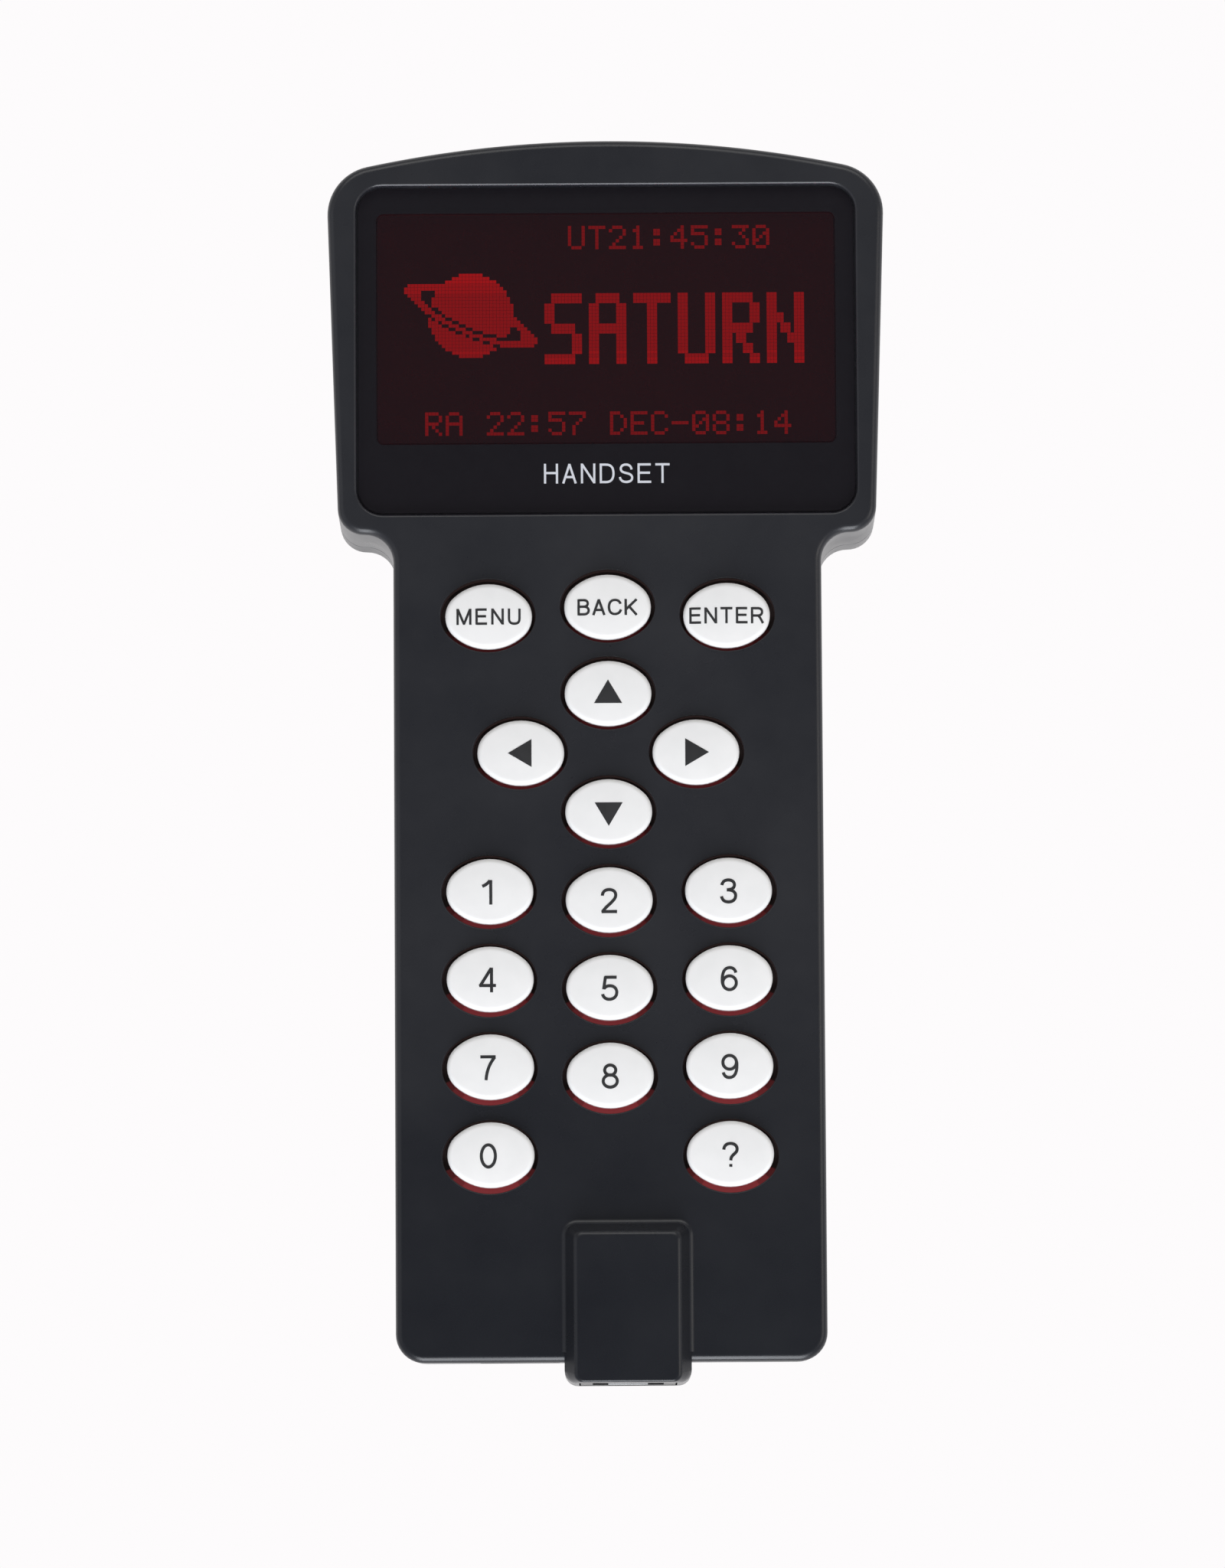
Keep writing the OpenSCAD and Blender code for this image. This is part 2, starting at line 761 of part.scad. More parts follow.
// Spring contacts: a pin through the board, a run to the mouth, and a wire that slopes back up
module socket_wires(x, mouth_y, count) {
    run_z = socket_floor_z - 0.5;
    run = contact_depth - contact_mouth;
    contact_places(x, mouth_y, count) {
        slab(socket_board_top - board_t - 0.6, run_z) circle(r = contact_r);
        translate([0, 0, run_z]) sphere(r = contact_r);
        translate([0, 0, run_z]) rotate([90, 0, 0]) cylinder(r = contact_r, h = run);
        translate([0, -run, run_z]) {
            sphere(r = contact_r);
            rotate([-71, 0, 0]) cylinder(r = contact_r, h = 8.4);
        }
    }
}

module mount_socket() {
    color("#232427") modular_socket(bump_x, mount_mouth_y, mount_body, 9.9, 6);
}

module mount_contacts() {
    color("#c8a24a") socket_wires(bump_x, mount_mouth_y, 6);
}

module serial_socket() {
    color("#232427") modular_socket(serial_x, serial_mouth_y, serial_body, 7.9, 4);
}

module serial_contacts() {
    color("#c8a24a") socket_wires(serial_x, serial_mouth_y, 4);
}

front_shell();
rear_shell();
case_screws();
rear_label();
display_window();
window_tape();
red_filter();
display_polariser();
display_glass();
display_backplate();
display_frame();
display_board();
display_flex();
display_screws();
display_cable();
cable_connectors();
main_board();
board_screws();
keypad_mat();
key_webs();
backlight_leds();
microcontroller();
flash_memory();
crystal();
coin_cell();
cell_holder();
buzzer();
voltage_regulator();
capacitors();
inductor();
socket_board();
socket_screws();
link_header();
link_pins();
mount_socket();
mount_contacts();
serial_socket();
serial_contacts();
key_menu();
key_back();
key_enter();
key_up();
key_left();
key_right();
key_down();
key_1();
key_2();
key_3();
key_4();
key_5();
key_6();
key_7();
key_8();
key_9();
key_0();
key_help();
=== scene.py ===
"""Looks of a telescope's hand controller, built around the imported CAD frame.

Outlines are worked out in millimetres, in the row frame, and scaled to metres when a piece is finished.
"""

import math

import bmesh
import bpy
from mathutils import Matrix, Vector


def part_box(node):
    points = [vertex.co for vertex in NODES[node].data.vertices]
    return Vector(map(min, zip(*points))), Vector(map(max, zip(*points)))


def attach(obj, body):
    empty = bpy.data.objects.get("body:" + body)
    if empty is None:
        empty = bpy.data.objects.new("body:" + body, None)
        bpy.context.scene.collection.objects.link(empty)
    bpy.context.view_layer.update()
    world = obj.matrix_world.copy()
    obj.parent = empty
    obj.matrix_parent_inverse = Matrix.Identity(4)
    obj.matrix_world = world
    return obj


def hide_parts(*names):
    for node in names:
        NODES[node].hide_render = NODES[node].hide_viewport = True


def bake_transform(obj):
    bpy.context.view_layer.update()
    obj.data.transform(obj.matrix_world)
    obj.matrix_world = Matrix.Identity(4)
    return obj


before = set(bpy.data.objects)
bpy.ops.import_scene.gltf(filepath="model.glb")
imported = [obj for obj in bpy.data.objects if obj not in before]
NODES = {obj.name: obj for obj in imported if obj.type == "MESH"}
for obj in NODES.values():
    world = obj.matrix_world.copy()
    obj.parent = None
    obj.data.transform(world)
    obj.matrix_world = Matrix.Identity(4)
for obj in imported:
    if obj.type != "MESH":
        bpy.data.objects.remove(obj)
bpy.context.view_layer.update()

MM = 0.001
KEYS = [name for name in sorted(NODES) if name.startswith("key_") and name != "key_webs"]


def mm_box(node):
    """Lowest and highest corner of a CAD node, in millimetres."""
    low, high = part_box(node)
    return low / MM, high / MM


# ---- Sizes, in millimetres ----

FRONT_LOW, FRONT_HIGH = mm_box("front_shell")
WINDOW_LOW, WINDOW_HIGH = mm_box("display_window")
PANEL_TOP_Z = mm_box("display_polariser")[1].z
FILTER_LOW, FILTER_HIGH = mm_box("red_filter")
MAT_LOW, MAT_HIGH = mm_box("keypad_mat")
BOARD_TOP_Z = mm_box("main_board")[1].z
LABEL_LOW, LABEL_HIGH = mm_box("rear_label")
MOUNT_LOW, MOUNT_HIGH = mm_box("mount_socket")
SERIAL_LOW, SERIAL_HIGH = mm_box("serial_socket")

CASE_DEPTH = 21.0
WALL = 2.2
PARTING_Z = FRONT_LOW.z
INNER_Z = CASE_DEPTH - WALL
SEAT_Z = PANEL_TOP_Z
LIP_HEIGHT = 1.2
LIP_INSET = 1.25
EDGE_BREAK = 0.14

HALF_BODY = 29.9
HALF_HEAD = 37.7
HEAD_FLARE = 1.83
APEX_Y = FRONT_HIGH.y
TOP_RADIUS = 162.0
SHOULDER_Y = 31.6
SHOULDER_REF_Y = SHOULDER_Y + 4.9
END_Y = -84.4
END_DRAFT = 3.5
HEAD_CORNER = 7.0
SHOULDER_CORNER = 3.7
NECK_CORNER = 4.0
END_CORNER = 4.0
FRONT_ROUND = 1.1
BACK_ROUND = 3.2

BUMP_X = (MOUNT_LOW.x + MOUNT_HIGH.x) / 2
BUMP_WIDTH = 17.6
BUMP_TOP_WIDTH = 14.5
BUMP_START_Y = -65.0
BUMP_END_Y = FRONT_LOW.y
BUMP_RISE = FRONT_HIGH.z - CASE_DEPTH
BUMP_CORNER = 1.8
BUMP_LEAN = 0.45
BUMP_TOP_ROUND = 0.9
BUMP_END_ROUND = 0.35
BUMP_FLARE = 0.55

KEY_WIDTH = 12.1
KEY_HEIGHT = 9.1
KEY_GAP = 0.55
KEY_TOP = mm_box("key_5")[1].z
KEY_DOME = 40.0
KEY_EDGE = 0.7
MAT_SHRINK = 1.006
FLANGE_SIZE = (14.6, 11.4)
FLANGE_LOW = 17.4
FLANGE_HIGH = 18.6
POST_SIZE = (7.0, 4.6)
POST_LOW = 13.75
WEB_SIZE = (13.4, 10.4)
WEB_T = 0.5

OPENING_Y = (FILTER_LOW.y + FILTER_HIGH.y) / 2
OPENING_SIZE = (64.4, 32.8)
WINDOW_Y = (WINDOW_LOW.y + WINDOW_HIGH.y) / 2
WINDOW_SIZE = (WINDOW_HIGH.x - WINDOW_LOW.x, WINDOW_HIGH.y - WINDOW_LOW.y)
WINDOW_CORNER = 3.5
WINDOW_GAP = 0.15
PRINT_T = 0.03

CASE_SCREWS = [(14.0, 81.5), (24.3, 30.2), (24.3, -70.0)]
DISPLAY_SCREWS = [(30.0, 80.6), (31.5, 35.1)]
BOARD_SCREWS = [(8.4, 14.7), (8.3, -25.6), (8.3, -49.9)]
SOCKET_SCREWS = [(-17.0, -62.4), (9.2, -63.6)]

# Radii of the front shell's screw columns and of their bores
TOP_COLUMN, CASE_COLUMN, DISPLAY_COLUMN, BOARD_COLUMN = 2.3, 2.8, 1.4, 1.9
CASE_BORE, DISPLAY_BORE, BOARD_BORE = 1.47, 0.77, 0.97
DISPLAY_COLUMN_LOW = 12.5
# Depth by which a part is sunk into the one it grows from
ROOT = 0.05

# Outline of the head, worked out from the sizes above
LEAN = math.radians(HEAD_FLARE)
LEAN_REACH = HALF_HEAD * math.cos(LEAN) - SHOULDER_REF_Y * math.sin(LEAN)
TOP_CENTRE_Y = APEX_Y - TOP_RADIUS
CORNER_SWING = HEAD_FLARE + math.degrees(
    math.asin(
        (LEAN_REACH - HEAD_CORNER + math.sin(LEAN) * TOP_CENTRE_Y) / (TOP_RADIUS - HEAD_CORNER)
    )
)
CORNER_CENTRE = (
    (TOP_RADIUS - HEAD_CORNER) * math.sin(math.radians(CORNER_SWING)),
    TOP_CENTRE_Y + (TOP_RADIUS - HEAD_CORNER) * math.cos(math.radians(CORNER_SWING)),
)
SHOULDER_CENTRE = (
    (LEAN_REACH - SHOULDER_CORNER + math.sin(LEAN) * (SHOULDER_Y + SHOULDER_CORNER))
    / math.cos(LEAN),
    SHOULDER_Y + SHOULDER_CORNER,
)


# ---- Outlines ----


def arc(centre, r, start, end, steps=10):
    """Points on an arc, from one angle to another in degrees, both ends included."""
    turns = [math.radians(start + (end - start) * i / steps) for i in range(steps + 1)]
    return [(centre[0] + r * math.cos(a), centre[1] + r * math.sin(a)) for a in turns]


def end_at(z):
    """End of the grip at a height, on its drafted wall."""
    return END_Y + (CASE_DEPTH - z) * math.tan(math.radians(END_DRAFT))


def case_outline(inset, low):
    """Outline of the case, moved in by inset, with its lower end at low."""
    right = (
        arc((HALF_BODY - END_CORNER, low + END_CORNER), END_CORNER - inset, -90, 0)
        + arc((HALF_BODY + NECK_CORNER, SHOULDER_Y - NECK_CORNER), NECK_CORNER + inset, 180, 90)
        + arc(SHOULDER_CENTRE, SHOULDER_CORNER - inset, -90, -HEAD_FLARE)
        + arc(CORNER_CENTRE, HEAD_CORNER - inset, -HEAD_FLARE, 90 - CORNER_SWING, 14)
        + arc((0, TOP_CENTRE_Y), TOP_RADIUS - inset, 90 - CORNER_SWING, 90, 16)
    )
    return right + [(-x, y) for x, y in reversed(right[:-1])]


def rounded(width, height, r, steps=8):
    """Rectangle with round corners, about the origin."""
    x, y = width / 2 - r, height / 2 - r
    return (
        arc((x, y), r, 0, 90, steps)
        + arc((-x, y), r, 90, 180, steps)
        + arc((-x, -y), r, 180, 270, steps)
        + arc((x, -y), r, 270, 360, steps)
    )


def oval(size, grow=0.0, tip_steps=14, flank_steps=14):
    """Oval of four arcs, moved out by grow."""
    a, b = size[0] / 2, size[1] / 2
    tip = 1.05 * b * b / a
    reach = a - tip
    drop = (reach * reach - (b - tip) ** 2) / (2 * (b - tip))
    turn = math.degrees(math.atan2(drop, reach))
    tip, flank = tip + grow, b + drop + grow
    return (
        arc((reach, 0), tip, -turn, turn, tip_steps)[:-1]
        + arc((0, -drop), flank, turn, 180 - turn, flank_steps)[:-1]
        + arc((-reach, 0), tip, 180 - turn, 180 + turn, tip_steps)[:-1]
        + arc((0, drop), flank, 180 + turn, 360 - turn, flank_steps)[:-1]
    )


def circle(r, steps=40):
    """Round outline about the origin."""
    return arc((0, 0), r, 0, 360, steps)[:-1]


def moved(outline, x, y):
    """Outline shifted in its plane."""
    return [(p[0] + x, p[1] + y) for p in outline]


def at(outline, z):
    """Outline as a ring of points at a height."""
    return [(x, y, z) for x, y in outline]



def in_scene(name, data):
    """New object in the scene, of a mesh, a lamp or a camera."""
    obj = bpy.data.objects.new(name, data)
    bpy.context.scene.collection.objects.link(obj)
    return obj


def mesh_object(name, points, faces):
    """Object from points and faces."""
    mesh = bpy.data.meshes.new(name)
    mesh.from_pydata(points, [], faces)
    mesh.update()
    return in_scene(name, mesh)


def loft(name, rings):
    """Closed solid through rings of equal length, each going round to the left."""
    n = len(rings[0])
    points = [p for ring in rings for p in ring]
    faces = [tuple(range(n - 1, -1, -1))]
    for k in range(len(rings) - 1):
        for i in range(n):
            j = (i + 1) % n
            faces.append((k * n + i, k * n + j, (k + 1) * n + j, (k + 1) * n + i))
    last = (len(rings) - 1) * n
    faces.append(tuple(range(last, last + n)))
    return mesh_object(name, points, faces)


def tube(name, rings):
    """Closed ring-shaped solid: the last of its rings joins the first."""
    n = len(rings[0])
    count = len(rings)
    points = [p for ring in rings for p in ring]
    faces = []
    for k in range(count):
        m = (k + 1) % count
        for i in range(n):
            j = (i + 1) % n
            faces.append((k * n + i, k * n + j, m * n + j, m * n + i))
    return mesh_object(name, points, faces)


def prism(outline, low, high):
    """Straight solid between two heights."""
    return loft("prism", [at(outline, low), at(outline, high)])


def block(x, y, z):
    """Box between two corners, each given as its (low, high) along an axis."""
    return prism([(x[0], y[0]), (x[1], y[0]), (x[1], y[1]), (x[0], y[1])], z[0], z[1])


def rim_cutter(shape, low, top, r, steps=6):
    """Cutter for a hole whose upper edge is rounded: shape(grow) gives its outline."""
    rings = [at(shape(0), low)]
    for i in range(steps + 1):
        t = math.radians(90 * i / steps)
        rings.append(at(shape(r * (1 - math.cos(t))), top - r + r * math.sin(t)))
    rings.append(at(shape(r), top + 1))
    return loft("rim", rings)


def join(objects):
    """One object from several."""
    whole = bmesh.new()
    for obj in objects:
        whole.from_mesh(obj.data)
    first = objects[0]
    whole.to_mesh(first.data)
    whole.free()
    for obj in objects[1:]:
        bpy.data.objects.remove(obj)
    return first


def combine(body, tools, operation):
    """body with the tools added or cut away. The tools don't touch each other."""
    tool = join(tools)
    step = body.modifiers.new("combine", "BOOLEAN")
    step.operation = operation
    step.solver = "MANIFOLD"
    step.object = tool
    bpy.context.view_layer.update()
    depsgraph = bpy.context.evaluated_depsgraph_get()
    mesh = bpy.data.meshes.new_from_object(body.evaluated_get(depsgraph))
    body.modifiers.clear()
    body.data = mesh
    bpy.data.objects.remove(tool)
    return body


def mirrored(places):
    """Places on both sides of the middle."""
    return [(side * x, y) for x, y in places for side in (-1, 1)]


def pegs(places, r, low, high):
    """Round solids at several places."""
    return [prism(moved(circle(r), x, y), low, high) for x, y in places]


def shade(obj, name, material, sharp):
    """Names a piece, scales it to metres and shades it."""
    obj.name = name
    obj.data.name = name
    obj.data.transform(Matrix.Scale(MM, 4))
    obj.data.materials.clear()
    obj.data.materials.append(material)
    obj.data.shade_smooth()
    obj.data.set_sharp_from_angle(angle=math.radians(sharp))


def finish(obj, name, material, body, sharp=32.0, replaces=()):
    """Makes a piece ready and fixes it to its body."""
    shade(obj, name, material, sharp)
    weigh = obj.modifiers.new("weigh", "WEIGHTED_NORMAL")
    weigh.keep_sharp = True
    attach(obj, body)
    if replaces:
        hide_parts(*replaces)
    return obj


# ---- Materials ----

# Where the case's painted shade lifts from dark to lighter, where the painted shade on a key's side
# gives way to white, and where its painted glow fades up the key and up the grip
CASE_SHADE_Y = (-75.0, -22.0)
KEY_SHADE_Z = (20.3, 21.7)
KEY_GLOW_Z = (20.4, 21.2)
KEY_GLOW_Y = (-50.0, 4.0)


class Shader:
    """A material's node tree, with short calls for what the materials share."""

    def __init__(self, name, **values):
        self.material = bpy.data.materials.new(name)
        self.material.use_nodes = True
        self.tree = self.material.node_tree
        self.main = self.tree.nodes["Principled BSDF"]
        self.output = self.tree.nodes["Material Output"]
        self.set(self.main, values)
        self.where = self.add("ShaderNodeTexCoord").outputs["Object"]

    def set(self, node, values):
        for key, value in values.items():
            node.inputs[key.replace("_", " ").title().replace("Ior", "IOR")].default_value = value

    def add(self, kind, **settings):
        node = self.tree.nodes.new(kind)
        for key, value in settings.items():
            setattr(node, key, value)
        return node

    def link(self, source, target):
        self.tree.links.new(source, target)

    def noise(self, per_mm, detail=2.0, roughness=0.5):
        """Noise whose features repeat about per_mm times in a millimetre."""
        node = self.add("ShaderNodeTexNoise")
        node.inputs["Scale"].default_value = per_mm / MM
        node.inputs["Detail"].default_value = detail
        node.inputs["Roughness"].default_value = roughness
        self.link(self.where, node.inputs["Vector"])
        return node.outputs["Fac"]

    def spread(self, value, low, high, start=0.3, end=0.7):
        """Value mapped from start..end to low..high."""
        node = self.add("ShaderNodeMapRange")
        for key, number in zip(("From Min", "From Max", "To Min", "To Max"), (start, end, low, high)):
            node.inputs[key].default_value = number
        self.link(value, node.inputs["Value"])
        return node.outputs["Result"]

    def ramp(self, value, stops):
        """Colour along a value: two stops, each (place, colour)."""
        node = self.add("ShaderNodeValToRGB")
        for element, (place, colour) in zip(node.color_ramp.elements, stops):
            element.position, element.color = place, (*colour, 1)
        self.link(value, node.inputs["Fac"])
        return node.outputs["Color"]

    def mix(self, fac, first, second):
        """Colour between two, each a socket or a plain colour."""
        node = self.add("ShaderNodeMix", data_type="RGBA")
        self.link(fac, node.inputs["Factor"])
        for source, target in ((first, node.inputs["A"]), (second, node.inputs["B"])):
            if isinstance(source, tuple):
                target.default_value = (*source, 1)
            else:
                self.link(source, target)
        return node.outputs["Result"]

    def maths(self, operation, first, second):
        """One step of arithmetic on sockets or numbers."""
        node = self.add("ShaderNodeMath", operation=operation)
        for source, target in zip((first, second), node.inputs):
            if isinstance(source, (int, float)):
                target.default_value = source
            else:
                self.link(source, target)
        return node.outputs["Value"]

    def bump(self, height, depth_mm):
        """Relief whose full height is depth_mm."""
        node = self.add("ShaderNodeBump")
        node.inputs["Distance"].default_value = depth_mm * MM
        node.inputs["Strength"].default_value = 1.0
        self.link(height, node.inputs["Height"])
        self.link(node.outputs["Normal"], self.main.inputs["Normal"])

    def axis_mm(self, axis):
        """Place along an axis of the row frame at rest, in millimetres."""
        split = self.add("ShaderNodeSeparateXYZ")
        self.link(self.where, split.inputs["Vector"])
        return self.maths("DIVIDE", split.outputs[axis], MM)

    def colour(self, socket):
        self.link(socket, self.main.inputs["Base Color"])

    def roughness(self, socket):
        self.link(socket, self.main.inputs["Roughness"])

    def glow(self, colour, strength=1.0):
        self.main.inputs["Emission Color"].default_value = (*colour, 1)
        self.main.inputs["Emission Strength"].default_value = strength

    def cover(self, under, over, share):
        """Shader of one closure over another: share is a socket or a number."""
        blend = self.add("ShaderNodeMixShader")
        if isinstance(share, float):
            blend.inputs["Fac"].default_value = share
        else:
            self.link(share, blend.inputs["Fac"])
        self.link(under, blend.inputs[1])
        self.link(over, blend.inputs[2])
        return blend.outputs["Shader"]


def moulded(name, dark, light, rough, grain=3.0, relief=0.006, patch=0.15, **values):
    """Moulded, cast or plated surface: slow colour patches, a fine grain and uneven gloss."""
    shader = Shader(name, **values)
    shader.colour(shader.ramp(shader.noise(patch, 4.0, 0.6), [(0.32, dark), (0.68, light)]))
    shader.roughness(shader.spread(shader.noise(patch * 3, 3.0), rough[0], rough[1]))
    shader.bump(shader.noise(grain, 3.0, 0.6), relief)
    return shader.material


def case_plastic(name="case_plastic", glow=None):
    """Black ABS with a spark-eroded texture, painted darker towards the grip's end as shade, with specks of
    dust.

    A glow is painted light: an emitted colour that stands in for the light the lamps throw on it.
    """
    shader = Shader(name, specular_ior_level=0.42)
    if glow:
        shader.glow(glow)
    plain_tone = shader.ramp(
        shader.noise(0.035, 5.0, 0.6),
        [(0.3, (0.0138, 0.0148, 0.019)), (0.7, (0.0245, 0.0252, 0.0292))],
    )
    shaded_tone = shader.ramp(
        shader.noise(0.035, 5.0, 0.6),
        [(0.3, (0.0068, 0.0078, 0.0118)), (0.7, (0.0118, 0.0132, 0.0172))],
    )
    # Painted shade: the case's colour goes darker towards the grip's end
    patches = shader.mix(shader.spread(shader.axis_mm("Y"), 0.0, 1.0, *CASE_SHADE_Y), shaded_tone, plain_tone)
    grain = shader.noise(5.0, 3.0, 0.7)
    grained = shader.mix(shader.spread(grain, 0.0, 0.1), patches, (0.04, 0.041, 0.046))
    cells = shader.add("ShaderNodeTexVoronoi")
    cells.inputs["Scale"].default_value = 0.15 / MM
    shader.link(shader.where, cells.inputs["Vector"])
    tint = shader.add("ShaderNodeSeparateColor")
    shader.link(cells.outputs["Color"], tint.inputs["Color"])
    reach = shader.maths("MULTIPLY", shader.spread(tint.outputs["Red"], 0.0, 1.0, 0.75, 1.0), 0.022)
    dust = shader.maths("LESS_THAN", cells.outputs["Distance"], reach)
    dusty = shader.mix(shader.maths("MULTIPLY", dust, 0.5), grained, (0.42, 0.42, 0.4))
    shader.colour(dusty)
    shader.roughness(shader.spread(shader.noise(0.12, 4.0, 0.6), 0.25, 0.33))
    shader.bump(grain, 0.006)
    return shader.material


def key_rubber(name, glow):
    """White silicone with painted shade below the top of the cap. Lamps shine red through parts that have a
    glow, painted on as an emitted colour.
    """
    shader = Shader(name, roughness=0.55, specular_ior_level=0.2)
    cloud = shader.ramp(
        shader.noise(0.25, 3.0), [(0.3, (0.865, 0.86, 0.848)), (0.7, (0.905, 0.898, 0.885))]
    )
    # Painted shade: the key's colour goes dark down its side and over the lower part of its rounded edge
    shade = shader.spread(shader.axis_mm("Z"), 0.0, 1.0, *KEY_SHADE_Z)
    shader.colour(shader.mix(shade, (0.075, 0.052, 0.05), cloud))
    shader.bump(shader.noise(2.5, 3.0), 0.004)
    if glow:
        # Painted glow: the backlight's red is an emitted colour, fading up the key and stronger on rows
        # nearer the grip's end
        fade = shader.spread(shader.axis_mm("Z"), 1.0, 0.0, *KEY_GLOW_Z)
        row = shader.spread(shader.axis_mm("Y"), glow, glow * 0.2, *KEY_GLOW_Y)
        shader.main.inputs["Emission Color"].default_value = (0.17, 0.022, 0.026, 1)
        shader.link(shader.maths("MULTIPLY", fade, row), shader.main.inputs["Emission Strength"])
    return shader.material


def clear_sheet(name, tint, gloss=None, body=None, share=0.0):
    """Clear sheet: light passes through tinted. A gloss colour makes its outside mirror a little."""
    shader = Shader(name, roughness=0.3)
    through = shader.add("ShaderNodeBsdfTransparent")
    through.inputs["Color"].default_value = (*tint, 1)
    shown = through.outputs["BSDF"]
    if body is not None:
        shader.main.inputs["Base Color"].default_value = (*body, 1)
        shown = shader.cover(shown, shader.main.outputs["BSDF"], share)
    if gloss:
        mirror = shader.add("ShaderNodeBsdfGlossy")
        shader.link(
            shader.spread(shader.noise(0.08, 4.0, 0.65), 0.02, 0.06), mirror.inputs["Roughness"]
        )
        fresnel = shader.add("ShaderNodeFresnel")
        fresnel.inputs["IOR"].default_value = 1.49
        mirror.inputs["Color"].default_value = (*gloss, 1)
        behind = shader.add("ShaderNodeNewGeometry").outputs["Backfacing"]
        front = shader.maths("SUBTRACT", 1.0, behind)
        share = shader.maths("MULTIPLY", fresnel.outputs["Fac"], front)
        shown = shader.cover(shown, mirror.outputs["BSDF"], share)
    shader.link(shown, shader.output.inputs["Surface"])
    return shader.material


def circuit_board():
    """Solder mask over copper runs."""
    shader = Shader("circuit_board", specular_ior_level=0.5)
    runs = shader.add("ShaderNodeTexBrick", offset=0.37, squash=0.7)
    runs.inputs["Scale"].default_value = 0.4 / MM
    runs.inputs["Mortar Size"].default_value = 0.06
    runs.inputs["Color1"].default_value = (0.012, 0.09, 0.035, 1)
    runs.inputs["Color2"].default_value = (0.014, 0.1, 0.04, 1)
    runs.inputs["Mortar"].default_value = (0.03, 0.17, 0.06, 1)
    shader.link(shader.where, runs.inputs["Vector"])
    shader.colour(runs.outputs["Color"])
    shader.roughness(shader.spread(shader.noise(0.3, 3.0), 0.25, 0.38))
    shader.bump(runs.outputs["Fac"], 0.03)
    return shader.material


def lamp_resin():
    """Clear resin over a lit red chip."""
    shader = Shader("led_resin", roughness=0.2)
    shader.colour(shader.ramp(shader.noise(2.0), [(0.3, (0.7, 0.2, 0.14)), (0.7, (0.9, 0.4, 0.3))]))
    shader.glow((1.0, 0.05, 0.03), 3.0)
    return shader.material


def lit_dot(name, red):
    """Lit dots that share a brightness."""
    shader = Shader(name, roughness=0.6)
    unlit = [(0.3, (0.02, 0.003, 0.004)), (0.7, (0.03, 0.004, 0.005))]
    shader.colour(shader.ramp(shader.noise(1.0), unlit))
    shader.glow((red, red * 0.03, red * 0.034))
    return shader.material


def brushed(name, dark, light, rough):
    """Plated or drawn metal with fine marks."""
    return moulded(name, dark, light, rough, grain=6.0, relief=0.003, patch=0.4, metallic=1.0)


# Name, darker and lighter colour, range of roughness, and what else differs
MOULDED = [
    ("polariser_film", (0.006, 0.005, 0.006), (0.01, 0.008, 0.009), (0.2, 0.3), {"relief": 0.001}),
    ("display_glass", (0.012, 0.015, 0.018), (0.018, 0.021, 0.024), (0.05, 0.1), {"relief": 0.001}),
    ("keypad_rubber", (0.52, 0.48, 0.45), (0.6, 0.57, 0.54), (0.5, 0.62), {"grain": 2.0}),
    ("label_film", (0.42, 0.425, 0.435), (0.48, 0.485, 0.49), (0.35, 0.45), {"grain": 8.0}),
    ("black_foam_tape", (0.004, 0.004, 0.005), (0.007, 0.007, 0.008), (0.8, 0.9), {"grain": 4.0}),
    ("black_plastic", (0.009, 0.009, 0.01), (0.014, 0.014, 0.016), (0.4, 0.52), {}),
    ("flex_film", (0.33, 0.12, 0.015), (0.4, 0.16, 0.025), (0.25, 0.35), {"relief": 0.002}),
    ("cable_film", (0.66, 0.66, 0.63), (0.72, 0.72, 0.7), (0.35, 0.45), {"relief": 0.003}),
    ("connector_plastic", (0.72, 0.68, 0.58), (0.8, 0.76, 0.67), (0.4, 0.5), {}),
    ("chip_epoxy", (0.012, 0.012, 0.013), (0.02, 0.02, 0.022), (0.5, 0.65), {"grain": 8.0}),
    ("ferrite", (0.028, 0.025, 0.023), (0.042, 0.038, 0.035), (0.6, 0.75), {}),
    ("socket_plastic", (0.01, 0.01, 0.012), (0.016, 0.016, 0.018), (0.3, 0.42), {}),
    ("contact_carrier", (0.6, 0.6, 0.6), (0.66, 0.66, 0.66), (0.4, 0.5), {}),
    ("legend_ink", (0.016, 0.016, 0.017), (0.024, 0.024, 0.026), (0.45, 0.6), {"relief": 0.002}),
    (
        "window_print", (0.0014, 0.001, 0.0024), (0.002, 0.0016, 0.003), (0.5, 0.6),
        {"relief": 0.001, "specular_ior_level": 0.2},
    ),
    ("white_ink", (0.74, 0.76, 0.8), (0.8, 0.82, 0.86), (0.4, 0.5), {"relief": 0.002}),
]
# Metals, in the same order
BRUSHED = [
    ("screw_steel", (0.4, 0.41, 0.43), (0.55, 0.56, 0.57), (0.28, 0.42)),
    ("bright_can", (0.6, 0.61, 0.63), (0.7, 0.71, 0.72), (0.18, 0.3)),
    ("cell_steel", (0.6, 0.61, 0.62), (0.72, 0.73, 0.74), (0.12, 0.22)),
    ("contact_gold", (0.62, 0.4, 0.12), (0.75, 0.5, 0.18), (0.15, 0.25)),
]

